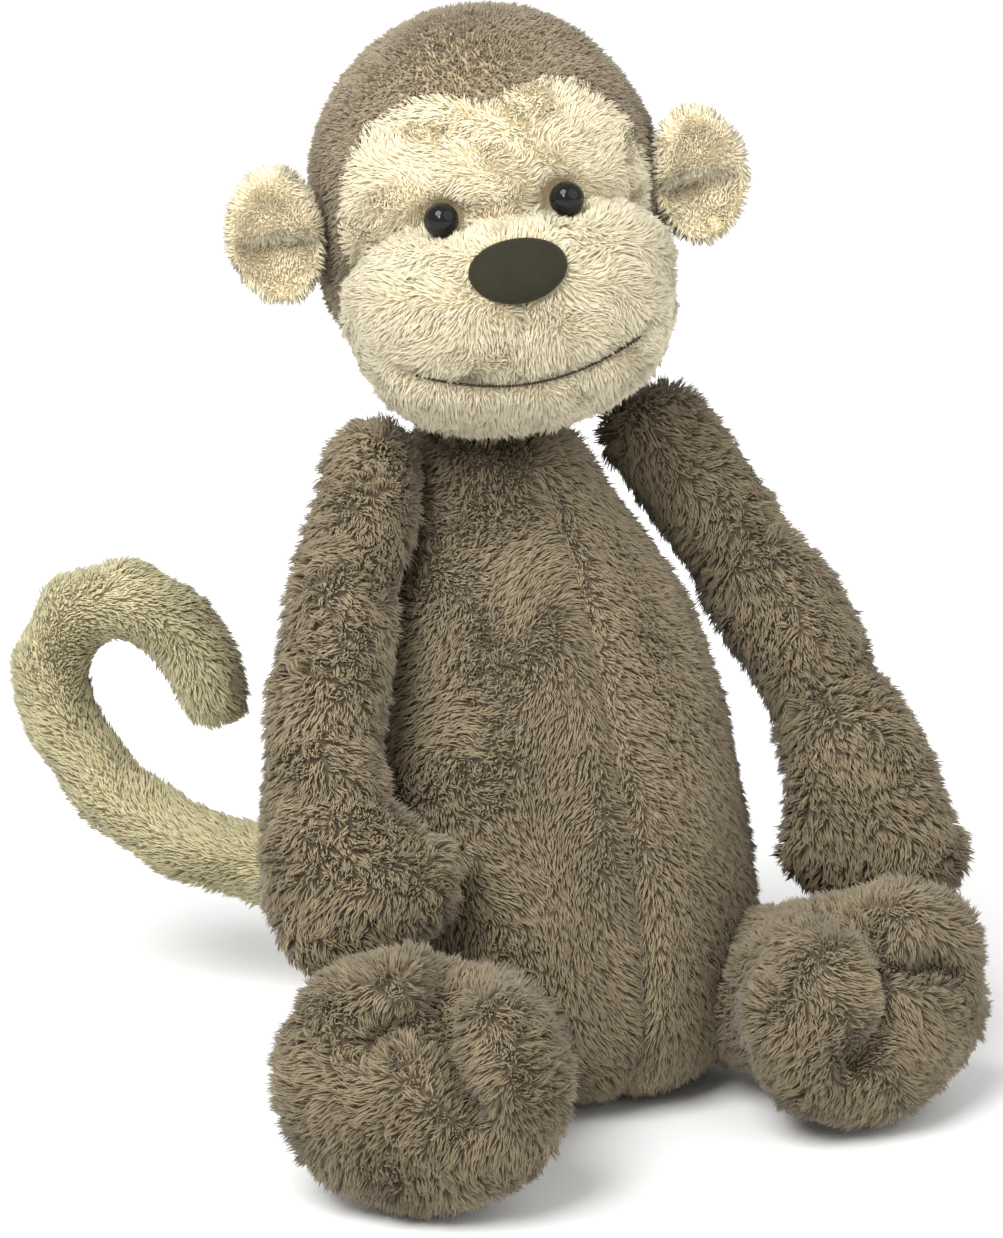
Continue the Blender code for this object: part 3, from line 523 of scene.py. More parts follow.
def rest_on_floor(obj):
    """Flattens what would go under the floor, leaving room there for the pile's roots."""
    p = coords(obj.data)
    p[:, 2] = np.maximum(p[:, 2], SKIN_LOW * MM)
    set_coords(obj.data, p)


# ---------------- pile

MAX_STRANDS = 19000     # locks in one piece
# Locks to a square millimetre, their length and width, how they lean, the size of a tuft and
# how strongly it gathers, and how much the locks stray; lengths in millimetres
PILE = {
    "torso": (2.15, 3.6, 0.44, 0.72, 2.0, 0.50, 0.34),
    "arm": (2.20, 4.1, 0.45, 0.62, 2.5, 0.60, 0.38),
    "leg": (2.20, 3.8, 0.45, 0.60, 2.4, 0.58, 0.38),
    "tail": (2.20, 3.3, 0.42, 0.85, 1.9, 0.38, 0.24),
    "cap": (2.40, 2.9, 0.42, 0.50, 1.4, 0.32, 0.22),
    "face": (2.70, 2.7, 0.40, 0.70, 1.4, 0.42, 0.26),
    "muzzle": (2.70, 2.9, 0.41, 0.72, 1.5, 0.46, 0.26),
    "ear": (3.00, 2.2, 0.38, 0.55, 1.4, 0.40, 0.17),
    "neck": (1.30, 4.2, 0.60, 0.50, 2.8, 0.60, 0.35),
}
# How far under the skin a lock starts, how far its middle bows out as a share of its length, how
# wide it is there as a share of its root, and how much locks differ in tone
LOCK_ROOT, LOCK_BOW, LOCK_TAPER, LOCK_TONES = 0.5, 0.14, 0.82, 0.05
# A lock has three corners at its root, three at its middle and one tip
CORNERS = 7
FACES = np.array(((0, 1, 4), (0, 4, 3), (1, 2, 5), (1, 5, 4), (2, 0, 3), (2, 3, 5),
                  (3, 4, 6), (4, 5, 6), (5, 3, 6), (0, 2, 1)))
FACE_UV = np.array((((0, 0), (1, 0), (1, .6)), ((0, 0), (1, .6), (0, .6))) * 3
                   + (((0, .6), (1, .6), (.5, 1)),) * 3 + (((0, 0), (.5, 0), (1, 0)),), float)


def scatter(mesh, density):
    """Evenly spread roots with their normals; density is per square millimetre."""
    mesh.calc_loop_triangles()
    tris = np.empty(len(mesh.loop_triangles) * 3, np.int32)
    mesh.loop_triangles.foreach_get("vertices", tris)
    tris = tris.reshape(-1, 3)
    p, n = coords(mesh), normals(mesh)
    a, b, c = p[tris[:, 0]], p[tris[:, 1]], p[tris[:, 2]]
    area = np.linalg.norm(np.cross(b - a, c - a), axis=1) / 2
    total = area.cumsum()
    count = int(total[-1] / MM ** 2 * density)
    spots = (np.arange(count) + rng.random(count)) / count * total[-1]
    pick = np.minimum(np.searchsorted(total, spots), len(tris) - 1)
    u, v = rng.random(count), rng.random(count)
    flip = u + v > 1
    u[flip], v[flip] = 1 - u[flip], 1 - v[flip]
    w = 1 - u - v
    root = a[pick] * w[:, None] + b[pick] * u[:, None] + c[pick] * v[:, None]
    na, nb, nc = (n[tris[pick, k]] for k in range(3))
    return root, unit(na * w[:, None] + nb * u[:, None] + nc * v[:, None])


def across_only(vectors, normal):
    """The part of each vector that lies along the skin."""
    return vectors - (vectors * normal).sum(1, keepdims=True) * normal


def grow(name, skin, kind, pile, comb, body, region=None, long_of=None, tone_of=None, stands_for=()):
    """Pile as tapered three-sided locks that gather into tufts."""
    density, length, width, lean, tuft, pull, scruff = PILE[pile]
    root, normal = scatter(skin.data, density)
    if region is not None:
        keep = region(root, normal)
        root, normal = root[keep], normal[keep]
    count = len(root)
    # tufts: each lock belongs to the nearest of a thinner set of roots
    leaders = rng.choice(count, max(1, int(count / max(density * tuft ** 2, 1.0))), replace=False)
    tree = kdtree.KDTree(len(leaders))
    for i, k in enumerate(leaders):
        tree.insert(root[k], i)
    tree.balance()
    mine = np.array([tree.find(p)[1] for p in root])
    lead_root, lead_normal = root[leaders], normal[leaders]
    flow = across_only(comb(lead_root, lead_normal), lead_normal)
    stray = across_only(rng.normal(size=(len(leaders), 3)) * scruff, lead_normal)
    lead_dir = unit(lead_normal + flow * lean + stray)
    lead_long = length * rng.uniform(0.85, 1.2, len(leaders))
    lead_tip = lead_root + lead_dir * (lead_long * 1.05 * MM)[:, None]
    lead_tone = rng.normal(1.0, LOCK_TONES, len(leaders))

    own_flow = across_only(comb(root, normal), normal)
    own = rng.normal(size=(count, 3)) * scruff * 0.45
    direction = unit(normal + own_flow * lean * 0.7 + own + (lead_dir[mine] - normal) * 0.6)
    reach = lead_long[mine] * rng.uniform(0.75, 1.12, count)
    if long_of is not None:
        reach = reach * long_of(root)
    tip = root + direction * (reach * MM)[:, None]
    gather = pull * rng.uniform(0.55, 1.0, count)
    near = np.linalg.norm(root - lead_root[mine], axis=1) / MM
    gather *= np.exp(-(near / (tuft * 0.9)) ** 2)
    share = (reach / length)[:, None]
    target = root + (lead_tip[mine] - root) * share
    tip = tip + (target - tip) * gather[:, None]
    middle = root + (tip - root) * 0.5 + normal * (reach * LOCK_BOW * MM)[:, None]
    base = root - normal * LOCK_ROOT * MM
    for part in (base, middle, tip):
        part[:, 2] = np.maximum(part[:, 2], LOCK_LOW * MM)
    tone = lead_tone[mine] * rng.normal(1.0, LOCK_TONES, count)
    # tone_of adds painted light and shade on some parts to the locks' random tones
    if tone_of is not None:
        tone *= tone_of(root)
    thick = width / 2 * rng.uniform(0.8, 1.2, count) * MM
    axis = unit(tip - base)
    side = unit(np.cross(axis, rng.normal(size=(count, 3))))
    other = np.cross(axis, side)
    angles = np.radians((0, 120, 240))
    verts = np.empty((count, CORNERS, 3))
    for k, angle in enumerate(angles):
        off = math.cos(angle) * side + math.sin(angle) * other
        verts[:, k] = base + off * thick[:, None]
        verts[:, 3 + k] = middle + off * (thick * LOCK_TAPER)[:, None]
    verts[:, -1] = tip
    verts[:, :, 2] = np.maximum(verts[:, :, 2], CORNER_LOW * MM)
    # neighbours stay in one piece: sorted around the vertical through their middle
    centre = root.mean(0)
    order = np.argsort(np.arctan2(root[:, 1] - centre[1], root[:, 0] - centre[0]), kind="stable")
    pieces = max(1, math.ceil(count / MAX_STRANDS))
    made = []
    for number, chosen in enumerate(np.array_split(order, pieces)):
        label = name if pieces == 1 else f"{name}_{number + 1}"
        # mostly the skin's own normals, so that the pile is lit as one soft surface
        soft = normal[chosen][:, None, :] * 0.75 + axis[chosen][:, None, :] * 0.12
        out = unit(verts[chosen] - (base[chosen] + tip[chosen])[:, None, :] / 2)
        shade = unit(soft + out * 0.28)
        shade[:, -1] = unit(normal[chosen] + axis[chosen] * 0.4)
        made.append(strand_piece(label, verts[chosen], shade, tone[chosen], FUR[kind]))
        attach(made[-1], body)
    if stands_for:
        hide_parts(*stands_for)


def strand_piece(name, verts, shade, tone, look):
    """One mesh of locks, with how far along its lock a point is and the lock's tone as attributes."""
    count = len(verts)
    mesh = bpy.data.meshes.new(name)
    mesh.vertices.add(count * CORNERS)
    mesh.vertices.foreach_set("co", verts.astype(np.float32).ravel())
    faces = (np.arange(count)[:, None, None] * CORNERS + FACES).reshape(-1)
    mesh.loops.add(len(faces))
    mesh.loops.foreach_set("vertex_index", faces.astype(np.int32))
    mesh.polygons.add(len(faces) // 3)
    mesh.polygons.foreach_set("loop_start", np.arange(0, len(faces), 3, dtype=np.int32))
    mesh.update(calc_edges=True)
    along = np.tile(np.array((0.0, 0.0, 0.0, 0.6, 0.6, 0.6, 1.0), np.float32), count)
    for label, values in (("along", along), ("tone", np.repeat(tone.astype(np.float32), CORNERS))):
        mesh.attributes.new(label, "FLOAT", "POINT").data.foreach_set("value", values)
    # one cell of the atlas for each lock
    side = math.ceil(math.sqrt(count))
    cell = np.stack([np.arange(count) % side, np.arange(count) // side], 1).astype(float)
    uv = (cell[:, None, None, :] + 0.1 + FACE_UV[None] * 0.8) / side
    mesh.uv_layers.new(name="OFBake").data.foreach_set("uv", uv.astype(np.float32).ravel())
    mesh.polygons.foreach_set("use_smooth", np.ones(len(faces) // 3, bool))
    mesh.normals_split_custom_set_from_vertices(shade.reshape(-1, 3))
    return put(name, mesh, look)


# ---------------- camera, floor and light

CAMERA_AZIMUTH, CAMERA_ELEVATION, CAMERA_DISTANCE = -29.0, 15.0, 1.5
CAMERA_TARGET = (-0.012, -0.003, 0.123)
VIEW_HEIGHT = 0.3182    # metres of the scene, at the target, from the frame's bottom to its top
SENSOR = 24.0
FLOOR_REACH = 30.0
SKY = 0.66


def direction(azimuth, elevation):
    """From the toy towards the camera or a light, in degrees; azimuth 0 is straight in front."""
    a, e = math.radians(azimuth), math.radians(elevation)
    return Vector((math.sin(a) * math.cos(e), -math.cos(a) * math.cos(e), math.sin(e)))


def place_camera():
    toward = direction(CAMERA_AZIMUTH, CAMERA_ELEVATION)
    right = Vector((0.0, 0.0, 1.0)).cross(toward).normalized()
    up = toward.cross(right)
    data = bpy.data.cameras.new("camera")
    data.sensor_fit = "VERTICAL"
    data.sensor_height = SENSOR
    data.lens = SENSOR * CAMERA_DISTANCE / VIEW_HEIGHT
    data.clip_start, data.clip_end = 0.05, 50.0
    cam = bpy.data.objects.new("camera", data)
    turn = Matrix((right, up, toward)).transposed().to_4x4()
    cam.matrix_world = Matrix.Translation(Vector(CAMERA_TARGET) + toward * CAMERA_DISTANCE) @ turn
    scene.collection.objects.link(cam)
    scene.camera = cam


def sun(name, azimuth, elevation, strength, angle):
    data = bpy.data.lights.new(name, "SUN")
    data.energy = strength
    data.angle = math.radians(angle)
    obj = bpy.data.objects.new(name, data)
    obj.rotation_euler = direction(azimuth, elevation).to_track_quat("Z", "Y").to_euler()
    scene.collection.objects.link(obj)


def softbox(name, at, target, size, power):
    """A small lamp for the highlight on the beads."""
    data = bpy.data.lights.new(name, "AREA")
    data.energy = power
    data.size = size
    obj = bpy.data.objects.new(name, data)
    obj.location = at
    obj.rotation_euler = (Vector(at) - Vector(target)).to_track_quat("Z", "Y").to_euler()
    scene.collection.objects.link(obj)


def studio():
    place_camera()
    mesh = bpy.data.meshes.new("floor")
    corners = [(x * FLOOR_REACH, y * FLOOR_REACH, 0) for x, y in ((-1, -1), (1, -1), (1, 1), (-1, 1))]
    mesh.from_pydata(corners, [], [(0, 1, 2, 3)])
    floor = put("floor", mesh, floor_material("studio_floor"))
    world = bpy.data.worlds.new("studio")
    world.use_nodes = True
    background = world.node_tree.nodes["Background"]
    background.inputs["Color"].default_value = (1.0, 1.0, 1.0, 1.0)
    background.inputs["Strength"].default_value = SKY
    scene.world = world
    sun("key", -62.0, 52.0, 2.5, 34.0)
    sun("fill", 25.0, 35.0, 0.8, 60.0)
    softbox("glint", (-0.95, -0.85, 0.95), (-0.01, -0.02, 0.22), 0.34, 5.0)
    scene.view_settings.view_transform = "Standard"
    scene.view_settings.look = "None"


# ---------------- the toy

def data_of(*names):
    return [nodes[n].data for n in names]


def bell(distance, width):
    return np.exp(-(distance / width) ** 2)


def face_edge(turn):
    """The hairline's angle from the middle of the face, at a turn round the face."""
    off = np.angle(np.exp(1j * (turn - math.pi / 2)))
    return np.radians(HAIRLINE - BROW_DROP * bell(off, BROW_WIDTH) - PEAK_DROP * bell(off, PEAK_WIDTH))


def smile(longitude):
    """The latitude of the mouth at a longitude of the muzzle."""
    return np.radians(MOUTH_LOW + MOUTH_RISE * (1 - bell(longitude, math.radians(MOUTH_WIDTH))))


def mouth_line(spare, inset):
    """The mouth in head millimetres, that many degrees past its ends and that far under the surface."""
    lons = np.radians(np.linspace(-MOUTH_SPAN - spare, MOUTH_SPAN + spare, 40))
    return muzzle_point(lons, smile(lons), inset)


def muzzle_fullness(way):
    """How far the muzzle stands past its ellipsoid along unit directions, as a factor."""
    across, rest = np.abs(way[..., 0]), np.hypot(way[..., 1], way[..., 2])
    total = across ** MUZZLE_SQUARE + rest ** MUZZLE_SQUARE
    return (total ** (-1 / MUZZLE_SQUARE))[..., None]


def muzzle_point(longitude, latitude, inset=0.0):
    d = np.stack([np.cos(latitude) * np.sin(longitude), -np.cos(latitude) * np.cos(longitude),
                  np.sin(latitude)], -1)
    return MUZZLE_AT + d * muzzle_fullness(d) * (MUZZLE - inset)


def philtrum_line(low, inset):
    return muzzle_point(np.zeros(8), np.radians(np.linspace(PHILTRUM[0], low, 8)), inset)


def muzzle_rim(inside=0.0):
    """Where the muzzle leaves the face, or a line that many radians inside it on the muzzle."""
    axis = unit(MUZZLE_AT)
    side = np.array((1.0, 0.0, 0.0))
    other = np.cross(axis, side)
    turns = np.linspace(0, 2 * math.pi, 97)
    ring = around(turns, side, other)
    low, high = np.zeros(len(turns)), np.full(len(turns), math.pi)
    for _ in range(30):
        middle = (low + high) / 2
        way = around(middle, axis, ring)
        outside = np.linalg.norm((MUZZLE_AT + MUZZLE * way * muzzle_fullness(way)) / SKULL, axis=1) > 1
        low, high = np.where(outside, middle, low), np.where(outside, high, middle)
    way = around(low - inside, axis, ring)
    return MUZZLE_AT + MUZZLE * way * muzzle_fullness(way)


def head_zone(root):
    """0 cap, 1 face, 2 muzzle, for points on the head's skin."""
    p = world_to_head(root)
    from_muzzle = (p - MUZZLE_AT) / (MUZZLE - HEAD_INSET)
    from_muzzle = from_muzzle / muzzle_fullness(unit(from_muzzle))
    on_muzzle = np.linalg.norm(from_muzzle, axis=1) < np.linalg.norm(p / (SKULL - HEAD_INSET), axis=1)
    d = unit(p)
    polar = np.arccos(np.clip(-d[:, 1], -1, 1))
    edge = face_edge(np.arctan2(d[:, 2], d[:, 0]))
    return np.where(on_muzzle, 2, np.where(polar > edge, 0, 1))


def eye_place(sign):
    x, z = sign * EYE_AT[0], EYE_AT[1]
    y = -SKULL[1] * math.sqrt(1 - (x / SKULL[0]) ** 2 - (z / SKULL[2]) ** 2)
    out = unit(np.array([x / SKULL[0] ** 2, y / SKULL[1] ** 2, z / SKULL[2] ** 2]))
    return np.array([x, y, z]), out


def foot_frame(side):
    """The foot's centre, its directions ahead, across and up, and its half width and half height."""
    hip, foot, wide, high = LEGS[side]
    hip, foot = np.array(hip), np.array(foot)
    foot[2] = max(foot[2], high + SKIN_LOW)
    along = unit(foot - hip)
    across = np.array([-(foot[1] - hip[1]), foot[0] - hip[0], 0.0])
    across = unit(across if across[0] > 0 else -across)
    up = np.cross(along, across)
    up = up if up[2] > 0 else -up
    return foot, along, across, up, wide, high


def sole_line(side, spots, lift=0.0):
    """A line on the sole, from shares of its half width and half height."""
    foot, along, across, up, wide, high = foot_frame(side)
    out = []
    for a, b in spots:
        depth = FOOT_DEPTH * math.sqrt(max(0.0, 1 - a * a - b * b)) + lift
        out.append(foot + across * a * wide + up * b * high + along * depth)
    return np.array(out)


def along_line(line):
    """A comb direction that follows a polyline, for points in metres."""
    line = np.asarray(line, float)
    middles = (line[:-1] + line[1:]) / 2
    ways = unit(line[1:] - line[:-1])

    def comb(points, normal):
        p = points / MM
        gap = ((p[:, None, :] - middles[None]) ** 2).sum(2)
        weight = np.exp(-(gap - gap.min(1, keepdims=True)) / 180.0)
        return unit((weight[:, :, None] * ways[None]).sum(1))
    return comb


def mixed(comb, amount, scale, seed):
    def both(points, normal):
        return comb(points, normal) + waves(points, scale, seed) * amount
    return both


def downward(points, normal):
    return np.tile((0.0, 0.0, -1.0), (len(points), 1))


def ear_rings(sign):
    """A cupped, folded leaf: a front and a back surface that meet at the rim."""
    shift = EAR_SHIFT[sign]
    angles = circle(56)
    shares = np.linspace(0.04, 1.0, 15)
    rings = []
    for front, order in ((True, shares), (False, shares[::-1])):
        for share in order:
            u = EAR[0] * share * np.cos(angles)
            v = EAR[1] * share * np.sin(angles) * (1.0 - 0.10 * np.cos(angles))
            thick = EAR_THICK * math.sqrt(max(1 - share ** 4, 0.02))
            cup = 5.0 * (1 - share ** 2) - 3.0 * share ** 4
            inner = np.clip((EAR[0] - u) / (2 * EAR[0]), 0, 1)
            lobe = EAR_LOBE * (0.5 + 0.5 * np.tanh((v - EAR_CREASE) / 1.5)) * (0.25 + 0.75 * inner)
            fold = lobe - EAR_GROOVE * np.exp(-((v - EAR_CREASE + 2.0) / 2.2) ** 2) * inner
            y = cup - fold * (1 - share ** 6) * (1.0 if front else 0.75) + (-thick if front else thick)
            x = sign * (EAR[0] + 0.6 + u)
            rings.append(np.stack([EAR_AT[0] * sign + x + shift[0], EAR_AT[1] + y + shift[1],
                                   EAR_AT[2] + v + shift[2]], 1))
    return [head_to_world(r) for r in rings]


def build_skins():
    """A skin for each soft body: the CAD's own solids, or plain shapes for the torso and head."""
    skins = {"torso": make_skin("body_skin", [torso_mesh()], "torso")}
    for side in ("left", "right"):
        for limb, parts in (("arm", ("outer_panel", "inner_panel", "stuffing")),
                            ("leg", ("outer_panel", "inner_panel", "sole", "stuffing", "pellet_bag"))):
            name = limb + "_" + side
            solids = data_of(*(name + "_" + part for part in parts))
            skins[name] = make_skin(name + "_skin", solids, limb)
    solids = data_of("tail_outer_panel", "tail_inner_panel", "tail_stuffing")
    skins["tail"] = make_skin("tail_skin", solids, "tail")
    shapes = [ellipsoid("skull", (0, 0, 0), SKULL), ellipsoid("nape", NAPE_AT, NAPE),
              ellipsoid("muzzle", MUZZLE_AT, MUZZLE, muzzle_fullness)]
    skins["head"] = make_skin("head_skin", shapes, "head")
    puff(list(skins.values()))
    for name, skin in skins.items():
        subdivide(skin)
        height, scale = BODIES[name.split("_")[0]][4:6]
        lumps(skin, height, scale, len(name) * 7 + scale)
    return skins


def torso_mesh():
    """The torso's closed outer face, without the hollows that the CAD leaves for the hips."""
    heights = np.linspace(TORSO[0, 0], TORSO[-1, 0], 70)
    rows = np.stack([np.interp(heights, TORSO[:, 0], TORSO[:, k]) for k in range(5)], 1)
    angles = circle(120)
    return rings_mesh("torso", [level_ring(angles, *row) * MM for row in rows])


SEAM_ENDS, SEAM_DEPTH = (2.5, 156), 3.5


def centre_seam():
    """The seam down the front of the torso, a little under its face."""
    z = np.linspace(*SEAM_ENDS, 40)
    x, y, deep = (np.interp(z, TORSO[:, 0], TORSO[:, k]) for k in (1, 2, 4))
    return np.stack([x, y - deep + SEAM_DEPTH, z], 1)


# How much wider a foot is below its middle than an ellipse would be, and how far behind its middle
# that begins
FOOT_SQUARE, FOOT_BACK = 0.28, 20.0
# Soft folds across the arms, as places along ARM_LINES counted in its points
ARM_FOLDS = {"left": (1.5, 3.2), "right": (1.4, 3.6)}
ARM_FOLD_RADIUS = 15.0
# Lines on the soles, in shares of the foot's half width and half height
SOLE_CREASES = {
    "right": (((0.20, 0.97), (0.18, 0.70), (0.21, 0.46), (0.30, 0.20), (0.38, 0.00), (0.48, -0.14)),
              ((0.21, 0.46), (0.06, 0.50), (-0.12, 0.46), (-0.26, 0.30))),
    "left": (((-0.26, 0.96), (-0.20, 0.62), (-0.18, 0.35), (-0.26, 0.08), (-0.38, -0.14), (-0.50, -0.30)),
             ((-0.18, 0.36), (0.02, 0.30), (0.22, 0.30), (0.42, 0.16))),
}
TOE_NOTCH = {"right": ((0.16, 1.0), (0.20, 0.72)), "left": ((-0.20, 1.0), (-0.20, 0.75))}
TOE_PADS = {
    "right": (((0.58, 0.46), (0.66, 0.10)), ((-0.50, 0.60), (-0.16, 0.74))),
    "left": (((-0.55, 0.40), (-0.62, 0.10)), ((0.20, 0.70), (0.50, 0.56))),
}


def widen_foot(leg, side):
    """The lower half of a foot bulges sideways under its filling."""
    foot, along, across, up, wide, high = foot_frame(side)
    p = coords(leg.data)
    off = p / MM - foot
    below = np.clip(-(off @ up) / high, 0, 1)
    ahead = np.clip(1 + off @ along / FOOT_BACK, 0, 1)
    swell = FOOT_SQUARE * below ** 2 * ahead * (off @ across)
    set_coords(leg.data, p + swell[:, None] * across * MM)


def arm_fold(side, place):
    """A line round the front of an arm, square to it."""
    line = np.array(ARM_LINES[side], float)
    step = int(place)
    way = unit(line[step + 1] - line[step])
    centre = line[step] + (line[step + 1] - line[step]) * (place - step)
    front = np.array((0.0, -1.0, 0.0))
    front = unit(front - way * (front @ way))
    angles = np.radians(np.linspace(-110, 110, 16))
    return centre + around(angles, front, np.cross(way, front)) * ARM_FOLD_RADIUS


def sculpt_foot(leg, side):
    widen_foot(leg, side)
    for pad, kind in zip(TOE_PADS[side], ("big_toe_pad", "small_toe_pad")):
        press(leg, sole_line(side, pad, -4.0), kind)
    for crease, kind in zip(SOLE_CREASES[side], ("toe_crease", "pad_crease")):
        press(leg, sole_line(side, crease, -4.0), kind)
    for back in (-2.0, -10.0):
        press(leg, sole_line(side, TOE_NOTCH[side], back), "toe_notch")
    rest_on_floor(leg)


def sculpt(skins):
    """Seams, creases and swells pressed into the skins."""
    press(skins["torso"], centre_seam(), "centre_seam")
    rest_on_floor(skins["torso"])
    for side in ("left", "right"):
        sculpt_foot(skins["leg_" + side], side)
        for place in ARM_FOLDS[side]:
            press(skins["arm_" + side], arm_fold(side, place), "arm_fold")
    lines = [("muzzle_swell", muzzle_rim(0.28)), ("muzzle_rim", muzzle_rim()),
             ("mouth", mouth_line(8, 2.0)), ("philtrum", philtrum_line(PHILTRUM[1], 2.0))]
    for sign in (1.0, -1.0):
        spot, out = eye_place(sign)
        lines.append(("eye", np.array([spot - out * 2.5, spot - out * 2.4])))
    for kind, line in lines:
        press(skins["head"], head_to_world(line) / MM, kind)


# Tones of the brown. Painted light and shade: the torso's front left panel lighter than its other side,
# where its laid nap catches the light, and the right arm lighter than the left, as the key light falls; the
# legs a little darker all over
TORSO_LIT_AND_SHADED_TONES = (1.03, 0.91)
ARM_LIT_AND_SHADED_TONES = {"left": 0.90, "right": 1.03}
LEG_TONE = 0.90
# How much painted shade darkens the pile along a seam or crease, and how much the pile shortens there, each
# with its width in millimetres
SEAM_SHADE, SEAM_SHORT = (0.34, 2.0), (0.45, 2.5)
CREASE_SHADE, CREASE_SHORT = (0.38, 3.0), (0.45, 3.6)


def less_near(lines, root, amount, width):
    """1 away from the lines, and less by an amount on them."""
    near = np.minimum.reduce([line_distance(root, line) for line in lines])
    return 1.0 - amount * bell(near, width)


def build_pile(skins):
    """The brown pile of the torso, arms and legs, and the tail's."""
    seam = centre_seam()

    def front_left(points):
        return (points[:, 0] > 0) & (points[:, 1] < 20 * MM)

    def torso_comb(points, normal):
        """Down the body; towards the seam on its right, and smoothly away from it on its left."""
        way = downward(points, normal) * 0.8 + waves(points, 34, 3) * 0.8
        left = front_left(points)
        way[:, 0] += np.where(left, 0.7, 0.9) * bell(line_distance(points, seam), 16.0)
        way[left] = way[left] * 0.6 + downward(points, normal)[left] * 0.7
        return way

    def torso_region(root, normal):
        seat = (root[:, 2] < 1.5 * MM) & (normal[:, 2] < -0.5)
        return ~seat & (line_distance(root, seam) > 0.9)

    def torso_long(root):
        return less_near([seam], root, *SEAM_SHORT)

    def torso_light_and_shade(root):
        # painted shade along the seam, and painted light on the front left panel
        return less_near([seam], root, *SEAM_SHADE) * np.where(front_left(root), *TORSO_LIT_AND_SHADED_TONES)

    grow("body_pile", skins["torso"], "brown", "torso", torso_comb, "torso", torso_region, torso_long,
         torso_light_and_shade, ("body_front_left_panel", "body_front_right_panel", "body_back_left_panel",
                      "body_back_right_panel", "body_base_gusset"))
    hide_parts("body_stuffing", "seat_pellet_bag")

    def off_floor(root, normal):
        return ~((root[:, 2] < 1.2 * MM) & (normal[:, 2] < -0.6))

    for side in ("left", "right"):
        arm = "arm_" + side
        comb = mixed(along_line(ARM_LINES[side]), 0.85, 24, 5 if side == "left" else 6)
        grow(arm + "_pile", skins[arm], "brown", "arm", comb, arm, tone_of=lambda root: ARM_LIT_AND_SHADED_TONES[side],
             stands_for=(arm + "_outer_panel", arm + "_inner_panel"))
        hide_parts(arm + "_stuffing")
        leg = "leg_" + side
        foot = foot_frame(side)[0]
        creases = [sole_line(side, spots, -5.0) for spots in SOLE_CREASES[side]]

        def leg_comb(points, normal):
            way = unit(points / MM - foot) * 0.35 + np.array((0.0, 0.0, -0.45))
            return way + waves(points, 26, 8 if side == "left" else 9) * 0.9

        def leg_long(root):
            return less_near(creases, root, *CREASE_SHORT)

        def leg_tone_and_crease_shade(root):
            # painted shade in the sole's creases
            return LEG_TONE * less_near(creases, root, *CREASE_SHADE)

        grow(leg + "_pile", skins[leg], "brown", "leg", leg_comb, leg, off_floor, leg_long, leg_tone_and_crease_shade,
             (leg + "_outer_panel", leg + "_inner_panel", leg + "_sole"))
        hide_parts(leg + "_stuffing", leg + "_pellet_bag")

    grow("tail_pile", skins["tail"], "tail", "tail", mixed(along_line(TAIL_LINE), 0.35, 22, 12), "tail",
         stands_for=("tail_outer_panel", "tail_inner_panel"))
    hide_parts("tail_stuffing")


# Painted shade: the muzzle's cream darker low under the nose than on its upper side, which faces the light
MUZZLE_SHADED_TONES = (0.87, 0.98)
# the face's tone, and painted shade in the crease along the muzzle's rim
FACE_TONE, RIM_SHADE = 1.04, 0.16
# the ears' tone, and painted shade in the groove between their lobes
EAR_TONE, EAR_GROOVE_SHADE = 1.05, 0.28
# How far the pile keeps from a bead's rim and from the mouth's thread, in millimetres, and the
# share of the nose that has none under it
EYE_CLEAR, MOUTH_CLEAR, NOSE_CLEAR = 0.3, 0.40, 0.92


